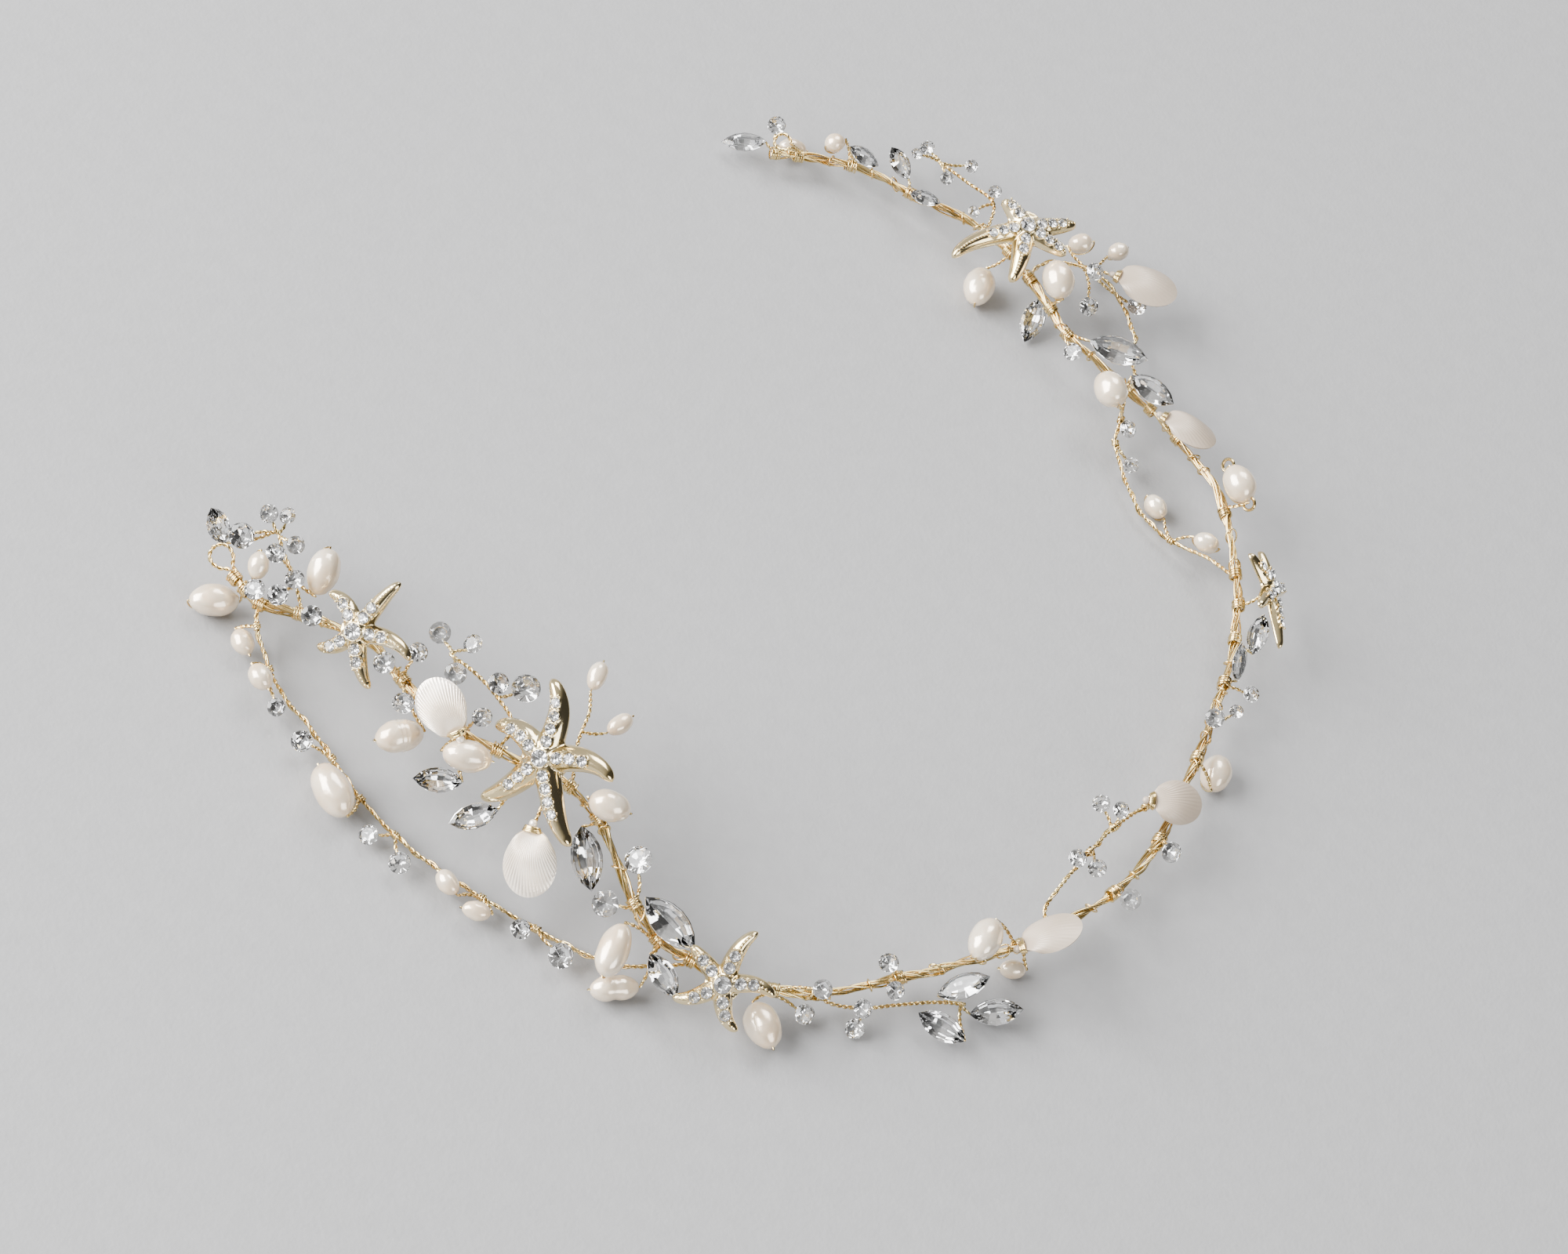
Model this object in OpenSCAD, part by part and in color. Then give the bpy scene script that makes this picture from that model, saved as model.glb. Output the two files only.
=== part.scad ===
// Hair vine: a bundle of twisted wires that carries pearls, crystals, shells and starfish.
// It lies on a table with its lowest pearls on the plane z = 0, and its longer side runs along y.

/* [Wires] */
// Span that the routes of the wires are laid out on
vine_span = 175; // [168:1:185]
// Thickness of the main stem, a bundle of twisted wires
stem_d = 1.9; // [1.6:0.1:2.2]
// Thickness of a side strand, four twisted wires
strand_d = 1.1; // [0.9:0.1:1.3]
// Thickness of the twisted pair that carries one ornament
stalk_d = 0.7; // [0.6:0.05:0.8]
// Thickness of a single wire
wire_d = 0.4; // [0.3:0.05:0.5]
// Length of a wire binding round a stem or strand
binding_l = 1.8; // [1.2:0.1:2.4]
// Width across the inside of the left loop that a hairpin goes through
pin_loop_d = 3.4; // [3:0.1:4]
// Width across the inside of the hairpin loop at the far end
far_loop_d = 2.6; // [2.4:0.1:3]

/* [Crystals] */
// Width of a round crystal
crystal_d = 3.05; // [2.8:0.05:3.2]
// Width of a small stone set in a starfish
pave_d = 1.6; // [1.4:0.05:1.7]
// Width of the stone at the middle of a starfish
heart_d = 2.4; // [2.2:0.05:2.6]
// Length of a pointed oval crystal
navette_l = 7.4; // [7:0.1:7.8]
// Width of a pointed oval crystal
navette_w = 3.6; // [3.3:0.1:3.9]

/* [Pearls] */
// Length of a large pearl
pearl_l = 7.2; // [6.8:0.1:7.4]
// Thickness of a large pearl
pearl_d = 5; // [4.7:0.1:5.2]
// Length of a small pearl
seed_l = 4.3; // [4:0.1:4.6]
// Thickness of a small pearl
seed_d = 3.1; // [2.9:0.1:3.3]

/* [Shells] */
// Length of a shell from its hinge to its rim
shell_l = 8.8; // [8.4:0.1:9.2]
// Width of a shell
shell_w = 7.2; // [6.8:0.1:7.6]
// Thickness of a shell's wall
shell_t = 0.7; // [0.5:0.05:0.9]
// Number of ribs on a shell
shell_ribs = 7; // [5:1:9]

/* [Starfish] */
// Reach of a small starfish's arm from its middle
star_r = 8.5; // [8:0.1:9]
// Width of an arm where it leaves the middle
arm_w = 2.6; // [2.3:0.05:2.7]
// Thickness of a starfish
star_t = 1.5; // [1.3:0.05:1.7]
// Width of the lower edge round a starfish's raised bed
star_lip = 0.25; // [0.15:0.05:0.35]

/* [Clearances] */
// Gap between a stone or pearl and the metal round it
stone_gap = 0.1; // [0.1:0.01:0.15]
// Gap between a binding and the wires that it goes round
binding_gap = 0.2; // [0.15:0.01:0.25]

/* [Hidden] */
left = 0;
middle = 1;
front = 2;
right = 3;
far = 4;
drop = 5;
REGIONS = ["left", "middle", "front", "right", "far", "drop"];

gold = "#d9bd8a";
crystal_white = "#dfe5ea";
ivory = "#f1e6da";
shell_cream = "#eadfce";

// Routes of the wires: x, y and height of each bend, in thousandths of the span
STEM = [
    [-377, -375, 34], [-364, -379, 34], [-348, -383, 34], [-317, -374, 40], [-295, -371, 46],
    [-272, -370, 51], [-246, -373, 57], [-217, -389, 63], [-186, -401, 67],
    [-155, -404, 69], [-122, -402, 72], [-84, -399, 74], [-59, -395, 74],
    [-27, -402, 69], [3, -418, 57], [34, -436, 46], [65, -445, 34],
    [96, -441, 29], [126, -437, 26], [165, -418, 23], [198, -397, 23],
    [226, -368, 23], [247, -343, 23], [268, -318, 23], [294, -287, 23],
    [320, -252, 26], [337, -224, 28], [352, -194, 29], [368, -156, 29],
    [378, -121, 31], [381, -85, 34], [379, -40, 34], [377, 14, 34],
    [373, 60, 34], [367, 104, 34], [357, 150, 37], [345, 184, 40],
    [329, 214, 40], [312, 246, 40], [294, 270, 40], [272, 291, 40],
    [248, 307, 38], [222, 320, 36], [188, 334, 34], [160, 341, 34],
    [127, 348, 34], [87, 356, 34], [61, 373, 34], [30, 390, 34],
    [0, 405, 34], [-29, 414, 31], [-57, 414, 29], [-82, 409, 28],
    [-108, 407, 26], [-140, 407, 23], [-168, 400, 21], [-195, 387, 20],
    [-214, 374, 20], [-232, 361, 20]
];
DROP = [
    [-340, -399, 29], [-312, -417, 13], [-285, -433, 13], [-260, -440, 11],
    [-230, -453, 10], [-193, -470, 10], [-154, -481, 10], [-114, -486, 10],
    [-70, -486, 10], [-20, -483, 10], [20, -479, 11], [56, -468, 13]
];
FRONT_STRAND = [
    [324, -206, 29], [327, -174, 34], [333, -140, 40], [341, -105, 40], [357, -64, 36]
];
RIGHT_STRAND = [
    [170, 312, 25], [177, 287, 21], [204, 259, 15], [234, 239, 11],
    [266, 231, 12], [292, 227, 22], [308, 221, 31]
];
FAR_STRAND = [
    [29, 418, 24], [45, 437, 27], [70, 444, 32], [95, 441, 34],
    [121, 428, 29], [143, 404, 29], [154, 370, 32]
];
LEFT_TWIG = [[-337, -353, 47], [-357, -340, 52], [-370, -327, 54]];
MIDDLE_TWIG = [[-123, -381, 83], [-148, -369, 87], [-173, -361, 86], [-197, -356, 81]];
PEARL_TWIG = [[-70, -372, 84], [-76, -352, 88]];
FRONT_TWIG = [
    [215, -396, 21], [236, -383, 20], [256, -364, 19], [282, -340, 17], [306, -322, 14]
];
FAR_TWIG = [[-38, 440, 42], [-70, 449, 37], [-104, 458, 31]];

// Side strands and twigs: bends, thickness, stem bends where it starts and ends, region of a twig
START = 2;
END = 3;
TWIG = 4;
free = -1;
none = -1;
STRANDS = [
    [DROP, strand_d, 2, 17, none],
    [FRONT_STRAND, strand_d, 26, 31, none],
    [RIGHT_STRAND, strand_d, 44, 37, none],
    [FAR_STRAND, strand_d, 48, 43, none],
    [LEFT_TWIG, stalk_d, 3, free, left],
    [MIDDLE_TWIG, stalk_d, 10, free, middle],
    [FRONT_TWIG, stalk_d, 20, free, front],
    [FAR_TWIG, stalk_d, 50, free, far],
    [PEARL_TWIG, stalk_d, 12, free, middle]
];
// Loops for a hairpin: middle, width inside, bend of the stem that they are bound to
PIN_LOOPS = [[[-394, -369, 40], pin_loop_d, 0], [[-230, 362, 37], far_loop_d, 57]];
ON_STEM = 0;
ROUTES = concat([[STEM, stem_d]], STRANDS);

// Bindings that the ornaments' stalks grow from: route, bend of that route, region
ROOTS = [
    [ON_STEM, 1, left], [5, 0, left], [5, 2, left],
    [ON_STEM, 5, left], [ON_STEM, 7, left],
    [ON_STEM, 9, middle], [ON_STEM, 11, middle], [ON_STEM, 13, middle], [9, 1, middle],
    [6, 1, middle], [6, 3, middle], [ON_STEM, 15, middle], [ON_STEM, 16, middle],
    [ON_STEM, 18, front], [ON_STEM, 19, front], [ON_STEM, 22, front],
    [7, 1, front], [7, 4, front], [ON_STEM, 25, front],
    [2, 2, right], [2, 3, right], [2, 4, right], [ON_STEM, 28, right], [ON_STEM, 30, right],
    [ON_STEM, 32, right], [ON_STEM, 33, right], [ON_STEM, 34, right], [ON_STEM, 35, right],
    [ON_STEM, 36, right], [ON_STEM, 39, right], [ON_STEM, 42, right],
    [3, 0, right], [3, 1, right], [3, 4, right],
    [ON_STEM, 46, far], [ON_STEM, 47, far], [4, 2, far], [ON_STEM, 49, far],
    [8, 0, far], [8, 2, far], [ON_STEM, 53, far], [ON_STEM, 55, far], [ON_STEM, 58, far],
    [1, 0, drop], [1, 1, drop], [1, 4, drop], [1, 5, drop], [1, 6, drop], [1, 8, drop], [1, 9, drop]
];

// Ornaments stand at x, y and height in thousandths of the span. A height of zero lies on the table.
HEADING = 3;
RISE = 4;
LONG = 5;
THICK = 6;
FORM = 7;
smooth = 0;
waisted = 1;
ringed = 2;
// Large pearls: x, y, z, heading, rise, length and thickness in hundredths, form
PEARLS = [
    [-382, -390, 0, 40, 0, 100, 94, smooth],
    [-320, -341, 60, 110, 30, 95, 92, smooth],
    [-214, -484, 20, -31, 0, 116, 106, smooth],
    [-194, -424, 46, 50, 0, 100, 96, ringed],
    [-139, -425, 76, 25, 0, 98, 90, smooth],
    [-24, -403, 94, 15, 0, 84, 88, smooth],
    [40, -479, 40, 100, 15, 112, 90, smooth],
    [57, -491, 0, 40, 0, 100, 86, waisted],
    [173, -446, 0, -38, 0, 98, 102, smooth],
    [291, -280, 47, 92, 5, 96, 96, smooth],
    [401, 28, 0, 100, 0, 90, 98, smooth],
    [-6, 365, 0, 104, 0, 102, 104, smooth],
    [52, 386, 58, 131, 5, 94, 104, smooth],
    [146, 311, 52, -44, 10, 92, 106, smooth],
    [290, 290, 62, -38, 0, 92, 102, smooth]
];
// Small pearls in the same columns, as shares of the small pearl's length and thickness
SEEDS = [
    [-366, -362, 48, 117, 30, 95, 100, smooth],
    [-343, -410, 15, -33, 0, 98, 102, smooth],
    [-313, -435, 25, -27, 0, 100, 104, smooth],
    [-90, -302, 91, 100, 15, 105, 92, smooth],
    [-53, -330, 91, 68, 10, 102, 86, smooth],
    [-98, -496, 17, -21, 0, 94, 94, smooth],
    [-67, -502, 15, 24, 0, 98, 88, smooth],
    [327, -263, 0, 34, 0, 96, 94, smooth],
    [52, 466, 34, 39, 20, 96, 110, smooth],
    [86, 489, 29, 60, 10, 90, 100, smooth],
    [239, 258, 0, -27, 0, 100, 112, smooth],
    [294, 239, 27, 10, 0, 100, 108, smooth],
    [-192, 406, 29, 60, 10, 84, 100, smooth],
    [-223, 390, 0, 30, 0, 112, 100, smooth]
];

SIZE = 3;
// Round crystals: x, y, z, width in hundredths
CRYSTALS = [
    [-391, -350, 53, 122], [-383, -325, 64, 88], [-371, -314, 60, 80], [-350, -338, 66, 86],
    [-358, -358, 70, 92], [-334, -365, 64, 92], [-356, -386, 52, 100], [-338, -381, 56, 98],
    [-306, -383, 60, 98], [-235, -397, 81, 102], [-204, -420, 82, 100], [-218, -373, 84, 92],
    [-214, -340, 76, 102], [-187, -336, 82, 92], [-183, -379, 96, 102], [-151, -362, 93, 98],
    [-131, -351, 92, 134], [-146, -400, 96, 94],
    [-289, -447, 19, 84], [-257, -460, 18, 100], [-171, -496, 13, 94], [-138, -504, 16, 102],
    [-30, -494, 15, 94], [8, -495, 16, 118],
    [18, -414, 68, 130], [15, -451, 46, 124],
    [197, -416, 15, 98], [197, -407, 46, 92], [233, -344, 36, 96], [249, -362, 34, 88],
    [234, -391, 30, 92], [238, -397, 8, 94],
    [321, -95, 46, 88], [338, -94, 52, 84], [326, -156, 44, 90], [345, -150, 39, 92],
    [382, -160, 41, 104], [394, -95, 42, 104], [372, 50, 50, 98], [388, 82, 36, 72],
    [393, 110, 34, 84],
    [180, 302, 30, 94], [200, 279, 16, 84], [99, 332, 44, 96], [90, 407, 29, 104],
    [77, 429, 50, 96], [128, 441, 30, 104],
    [-42, 446, 50, 72], [-74, 473, 34, 74], [-87, 440, 36, 72], [-119, 467, 29, 82],
    [-123, 444, 38, 64], [-48, 415, 44, 66], [-245, 377, 36, 98]
];

AZIMUTH = 3;
LEAN = 4;
TURN = 5;
SCALE = 6;
// Pointed oval crystals: x, y, z, way that the face leans, lean, turn, size in hundredths
NAVETTES = [
    [-410, -356, 55, -37, 64, 21, 92], [-149, -439, 46, -56, 23, 90, 96],
    [-109, -452, 50, -51, 40, 105, 96], [-17, -426, 48, -83, 35, 36, 122],
    [66, -438, 54, -82, 24, 70, 130], [84, -466, 28, -61, 39, 42, 98],
    [298, -356, 18, -90, 33, 92, 104], [331, -313, 16, -120, 36, 152, 104],
    [295, -322, 34, -151, 35, -167, 106], [371, 158, 51, -98, 60, -158, 90],
    [369, 124, 45, -27, 50, -15, 84], [134, 360, 50, -106, 19, 119, 130],
    [179, 337, 54, -96, 23, 94, 110], [53, 367, 15, -65, 25, -12, 108],
    [-131, 426, 33, -58, 50, 41, 84], [-162, 406, 35, -41, 23, 51, 78],
    [-262, 354, 18, -143, 20, 171, 96], [-93, 397, 42, -77, 16, 95, 70]
];

// Shells: x, y, z of the hinge, way that the face leans, lean, turn, size in hundredths
SHELLS = [
    [-155, -420, 88, -96, 44, -112, 96], [-64, -444, 68, -103, 43, 38, 106],
    [322, -266, 46, -178, 42, -139, 104], [356, -70, 54, -58, 17, 92, 95],
    [202, 319, 49, 115, 13, -110, 104], [98, 448, 40, -174, 10, -174, 116]
];

STAR_SIZE = 5;
ARMS = 6;
REACH = 1;
CURL = 2;
STONES = 3;
// Starfish: x, y, z of the back, way that the face leans, lean, size in hundredths, arms.
// Arms: turn of the tip, reach in hundredths, curl in degrees, stones.
STARFISH = [
    [-267, -381, 74, -112, 51, 100,
        [[335, 77, -17, 2], [63, 96, 11, 2], [112, 106, -18, 2], [184, 112, -5, 2], [269, 82, 21, 2]]],
    [-86, -401, 99, -112, 51, 141,
        [[348, 94, -9, 3], [66, 106, 8, 4], [121, 87, -18, 3], [225, 91, 18, 4], [290, 73, 18, 3]]],
    [127, -454, 46, -90, 38, 100,
        [[316, 85, -14, 2], [51, 80, 19, 2], [108, 87, -18, 2], [178, 102, -13, 2], [252, 81, 1, 2]]],
    [1, 408, 66, -90, 15, 128,
        [[-32, 127, 10, 3], [15, 92, -6, 2], [91, 72, 0, 3], [132, 81, 0, 3], [250, 56, 8, 2]]],
    [358, 202, 57, 32, 42, 105,
        [[27, 106, 0, 2], [95, 78, 0, 1], [150, 80, 0, 2], [225, 92, 0, 2], [275, 116, 0, 3]]]
];

shift_x = 5.5;
shift_y = 7.7;
stalk_sides = 4;
loop_sides = 3;
rope_sides = 6;
binding_sides = 6;
girdle_sides = 8;
pearl_sides = 32;
pin_sides = 10;

// Depth of the grooves between the wires of a bundle, as a share of its radius, and turn at each bend
stem_groove = 0.2;
stem_twist = 40;
strand_groove = 0.15;
strand_twist = 50;
// Feet of stalks stand this far into the wall of a binding, as a share of the wire
foot_depth = 0.7;
// Cut of a stone: table as a share of its outline, crown and back as shares of its half width
table_share = 0.62;
crown_share = 0.32;
round_depth = 0.8;
navette_depth = 0.76;
// Shares of a pearl's thickness that a waist and a row of rings take away
waist_share = 0.14;
ring_share = 0.04;
// Height of a starfish's lower edge, and half width of its middle, as shares of its thickness and arm
edge_share = 0.6;
middle_share = 0.65;
// Share of its width that an arm loses from the middle to the tip
taper = 0.55;

// Shift that puts the middle of the whole vine over the origin
function at(p) = vine_span / 1000 * [p.x + shift_x, p.y + shift_y, p.z];
function unit(v) = v / norm(v);
function rot_y(v, a) = [v.x * cos(a) + v.z * sin(a), v.y, v.z * cos(a) - v.x * sin(a)];
function rot_z(v, a) = [v.x * cos(a) - v.y * sin(a), v.x * sin(a) + v.y * cos(a), v.z];
// The way that a vector drawn flat on the table points once its piece is faced
function faced(v, face) = rot_z(rot_y(rot_z(v, face[2]), face[1]), face[0]);
module face(place, face) translate(place)
    rotate([0, 0, face[0]]) rotate([0, face[1], 0]) rotate([0, 0, face[2]]) children();

// Bends of a route and the way that it runs at one of them
function bends(route) = [for (p = ROUTES[route][0]) at(p)];
function thickness(route) = ROUTES[route][1];
function run(path, i) = unit(path[min(i + 1, len(path) - 1)] - path[max(i - 1, 0)]);
// Distance from the middle of a route to the feet of stalks, inside the wall of a binding
function binding_r(route) = thickness(route) / 2 + binding_gap + foot_depth * wire_d;
// Point on the binding at a bend that looks at another point
function seat(route, i, target) = let (
        path = bends(route),
        way = run(path, i),
        aim = target - path[i],
        out = unit(aim - (aim * way) * way)
    ) path[i] + binding_r(route) * out;

// Points round a path at one place: middle, way along the path, a way to measure turns from
function ring(p, way, ref, r, sides, turn = 0, groove = 0) = let (
        u = unit(cross(ref, way)),
        v = cross(way, u)
    ) [for (k = [0:sides - 1]) let (
        a = 360 * k / sides + turn,
        rk = k % 2 == 0 ? r : r * (1 - groove)
    ) p + rk * (cos(a) * u + sin(a) * v)];

// Solid through rings of points, which may close on itself
module skin(rings, closed = false) {
    n = len(rings[0]);
    m = len(rings);
    ends = [[for (i = [0:n - 1]) i], [for (i = [n - 1:-1:0]) (m - 1) * n + i]];
    sides = [for (k = [0:(closed ? m : m - 1) - 1]) for (i = [0:n - 1]) let (
            a = k * n + i,
            b = k * n + (i + 1) % n,
            c = (k + 1) % m * n + (i + 1) % n,
            d = (k + 1) % m * n + i
        ) each [[a, c, b], [a, d, c]]];
    polyhedron([for (r = rings) each r], concat(closed ? [] : ends, sides));
}

// Twisted bundle along a path
module rope(path, d, sides, groove, twist) skin([for (i = [0:len(path) - 1])
    ring(path[i], run(path, i), [0, 0, 1], d / 2, sides, i * twist, groove)]);

// Way to measure turns from that isn't along a path
function clear_of(way) = abs(way.z) > 0.8 ? [1, 0, 0] : [0, 0, 1];

// Straight stalk between two points, which may narrow to its far end
module stalk(from, to, end_d) {
    way = unit(to - from);
    hull() skin([for (end = [[from, stalk_d], [to, end_d]])
        ring(end[0], way, clear_of(way), end[1] / 2, stalk_sides)]);
}

// Stalk that bends once into the wire through a pearl
module pearl_stalk(from, near, through) {
    path = [from, near, through];
    ref = clear_of(run(path, 1));
    skin([for (i = [0:2]) ring(path[i], run(path, i), ref, (i == 0 ? stalk_d : wire_d) / 2, stalk_sides)]);
}

// Closed loop of single wire whose points lie in the plane square to ref
module wire_loop(path, ref) {
    n = len(path);
    skin([for (i = [0:n - 1]) ring(path[i], unit(path[(i + 1) % n] - path[(i + n - 1) % n]),
        ref, wire_d / 2, loop_sides, 45)], closed = true);
}

// Binding: a few turns of wire round a route at one of its bends
module binding(route, i) {
    path = bends(route);
    way = run(path, i);
    flat = cos(180 / binding_sides);
    inner = thickness(route) / 2 + binding_gap;
    translate(path[i]) rotate([0, acos(way.z), atan2(way.y, way.x)]) difference() {
        cylinder(h = binding_l, r = (inner + wire_d) / flat, center = true, $fn = binding_sides);
        cylinder(h = 2 * binding_l, r = inner / flat, center = true, $fn = binding_sides);
    }
}

// Side strand from its first binding on the stem to its last, if it comes back to the stem
module strand(s) {
    points = [for (p = s[0]) at(p)];
    from = seat(ON_STEM, s[START], points[0]);
    ends = s[END] == free ? [] : [seat(ON_STEM, s[END], points[len(points) - 1])];
    union() {
        binding(ON_STEM, s[START]);
        if (s[END] != free) binding(ON_STEM, s[END]);
        rope(concat([from], points, ends), s[1], s[END] == free ? stalk_sides : rope_sides,
            strand_groove, strand_twist);
    }
}

// A pearl that lies on the table stands at its own radius, so it touches the table at any size
function pearl_r(row, d) = d * row[THICK] / 200;
function pearl_half(row, l) = l * row[LONG] / 200;
function pearl_place(row, d) = let (p = at(row)) [p.x, p.y, row.z == 0 ? pearl_r(row, d) : p.z];
function pearl_way(row) = [
    cos(row[RISE]) * cos(row[HEADING]), cos(row[RISE]) * sin(row[HEADING]), sin(row[RISE])];
function crystal_r(row) = crystal_d * row[SIZE] / 200;
// Round crystals look up and towards the front, each a little its own way
function crystal_face(i) = [-90 + 40 * cos(97 * i), 30 + 12 * sin(61 * i), 25 * i];
function navette_face(row) = [row[AZIMUTH], row[LEAN], row[TURN]];
function star_unit(row) = row[STAR_SIZE] / 100;

// A stalk narrows to an end that lies inside the wire of its loop
stalk_end_d = 0.35 * wire_d;
bore_r = wire_d / 2 + stone_gap;
girdle_gap = stone_gap + wire_d / 2;

// A tip holds the end of a stalk, the end of its wire, the loop round a stone, its plane and the root
function nearer(a, b, p) = norm(a - p) < norm(b - p) ? a : b;
function root_place(k) = at(ROUTES[ROOTS[k][0]][0][ROOTS[k][1]]);
function nearest_root(p) = let (
        gaps = [for (k = [0:len(ROOTS) - 1]) norm(root_place(k) - p)],
        least = min(gaps)
    ) [for (k = [0:len(gaps) - 1]) if (gaps[k] == least) k][0];

function pearl_tip(row, l, d) = let (
        p = pearl_place(row, d),
        half = (pearl_half(row, l) + stone_gap + stalk_d) * pearl_way(row),
        k = nearest_root(p),
        end = nearer(p + half, p - half, root_place(k))
    ) [end, 2 * p - end, [], [], k];

function loop_points(outline, place, face, gap) =
    [for (q = outline) place + faced([q.x, q.y, 0] * (1 + gap / norm(q)), face)];

function stone_tip(outline, place, face, pointed) = let (
        k = nearest_root(place),
        loop = loop_points(outline, place, face, girdle_gap),
        n = len(loop),
        seats = pointed ? [loop[0], loop[n / 2]] : [for (i = [0:n - 1]) (loop[i] + loop[(i + 1) % n]) / 2],
        gaps = [for (p = seats) norm(p - root_place(k))],
        end = [for (p = seats) if (norm(p - root_place(k)) == min(gaps)) p][0]
    ) [end, end, loop, faced([0, 0, 1], face), k];

function crystal_outline(r) = [for (k = [0:girdle_sides - 1])
    r * [cos(360 * k / girdle_sides), sin(360 * k / girdle_sides)]];
function navette_outline(l, w) = [
    [l / 2, 0], [l * 0.3, w * 0.34], [0, w / 2], [-l * 0.3, w * 0.34],
    [-l / 2, 0], [-l * 0.3, -w * 0.34], [0, -w / 2], [l * 0.3, -w * 0.34]
];
function navette_size(row) = [navette_l, navette_w] * row[SCALE] / 100;

neck_w = 0.2 * shell_w;
function shell_tip(row) = let (
        face = navette_face(row),
        place = at(row),
        k = nearest_root(place),
        r = norm([neck_w, shell_t]) / 2 + girdle_gap,
        neck = [for (a = [30:60:330])
            place + faced([-wire_d / 2, r * cos(a), shell_t / 2 + r * sin(a)], face)],
        low = (neck[3] + neck[4]) / 2
    ) [low, low, neck, faced([1, 0, 0], face), k];

function star_tip(row) = let (
        face = [row[AZIMUTH], row[LEAN], 0],
        low = at(row) + faced([0, 0, -stone_gap - stalk_d / 2], face)
    ) [low, low, [], [], nearest_root(at(row))];

TIPS = concat(
    [for (row = PEARLS) pearl_tip(row, pearl_l, pearl_d)],
    [for (row = SEEDS) pearl_tip(row, seed_l, seed_d)],
    [for (i = [0:len(CRYSTALS) - 1]) stone_tip(
        crystal_outline(crystal_r(CRYSTALS[i])), at(CRYSTALS[i]), crystal_face(i), false)],
    [for (row = NAVETTES) let (size = navette_size(row)) stone_tip(
        navette_outline(size[0], size[1]), at(row), navette_face(row), true)],
    [for (row = SHELLS) shell_tip(row)],
    [for (row = STARFISH) star_tip(row)]
);

// Stalks, wires and stone loops of one root's ornaments. They grow from a binding, or from a twig.
module sprig(k) {
    route = ROOTS[k][0];
    bend = ROOTS[k][1];
    on_twig = route > 0 && STRANDS[route - 1][END] == free;
    tips = [for (tip = TIPS) if (tip[4] == k) tip];
    along = run(bends(route), bend);
    spread = (binding_l - stalk_d) / max(1, len(tips) - 1);
    if (!on_twig) binding(route, bend);
    for (i = [0:len(tips) - 1]) {
        tip = tips[i];
        foot = on_twig ? bends(route)[bend]
            : seat(route, bend, tip[0]) + (i - (len(tips) - 1) / 2) * spread * along;
        if (tip[1] != tip[0]) pearl_stalk(foot, tip[0], tip[1]);
        else stalk(foot, tip[0], len(tip[2]) > 0 ? stalk_end_d : stalk_d);
        if (len(tip[2]) > 0) wire_loop(tip[2], tip[3]);
    }
}

// Sprigs of one region and its twig
module sprigs(region) color(gold) union() {
    for (k = [0:len(ROOTS) - 1]) if (ROOTS[k][2] == region) sprig(k);
    for (s = STRANDS) if (s[TWIG] == region) strand(s);
}

module stem() color(gold) rope(bends(ON_STEM), stem_d, rope_sides, stem_groove, stem_twist);
module side_strand(i) color(gold) strand(STRANDS[i]);

// Loop for a hairpin, bound to the stem at one of its bends
module pin_loop(row) color(gold) union() {
    centre = at(row[0]);
    r = (row[1] + wire_d) / 2;
    i = row[2];
    face = [-90, 38, 0];
    points = [for (k = [0:pin_sides - 1]) let (a = 360 * k / pin_sides)
        centre + faced([r * cos(a), r * sin(a), 0], face)];
    from = seat(ON_STEM, i, centre);
    gaps = [for (p = points) norm(p - from)];
    near = [for (p = points) if (norm(p - from) == min(gaps)) p][0];
    wire_loop(points, faced([0, 0, 1], face));
    stalk(from, near, stalk_end_d);
    binding(ON_STEM, i);
}

// Pearl turned about its length and drilled along it
module pearl(row, l, d) {
    half = pearl_half(row, l);
    r = pearl_r(row, d);
    rise = asin(bore_r / r);
    steps = 12;
    function waist(f) = row[FORM] == waisted ? 1 - waist_share * exp(-18 * f * f)
        : row[FORM] == ringed ? 1 - ring_share * pow(cos(360 * f), 2) : 1;
    profile = [for (k = [0:steps]) let (a = 90 - rise - k * (180 - 2 * rise) / steps)
        [r * cos(a) * waist(sin(a)), half * sin(a)]];
    bottom = profile[steps];
    top = profile[0];
    color(ivory) translate(pearl_place(row, d))
        rotate([0, 90 - row[RISE], row[HEADING]])
        rotate_extrude($fn = pearl_sides)
        polygon(concat([[bore_r, bottom.y], [bore_r, top.y]], profile));
}

// Cut stone: a table with four corners, a crown of triangles down to the girdle and a pointed back
module stone(outline, crown, depth) {
    corners = [for (k = [0:3]) table_share * outline[2 * k]];
    points = concat(
        [for (q = corners) [q.x, q.y, crown]],
        [for (q = outline) [q.x, q.y, 0]],
        [[0, 0, -depth]]
    );
    girdle = 4;
    culet = girdle + girdle_sides;
    crown_faces = [for (k = [0:3]) let (
            near = girdle + 2 * k,
            mid = near + 1,
            next = girdle + (2 * k + 2) % girdle_sides
        ) each [[k, mid, near], [k, (k + 1) % 4, mid], [(k + 1) % 4, next, mid]]];
    back_faces = [for (k = [0:girdle_sides - 1])
        [girdle + k, girdle + (k + 1) % girdle_sides, culet]];
    color(crystal_white) polyhedron(points, concat([[3, 2, 1, 0]], crown_faces, back_faces));
}

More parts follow.
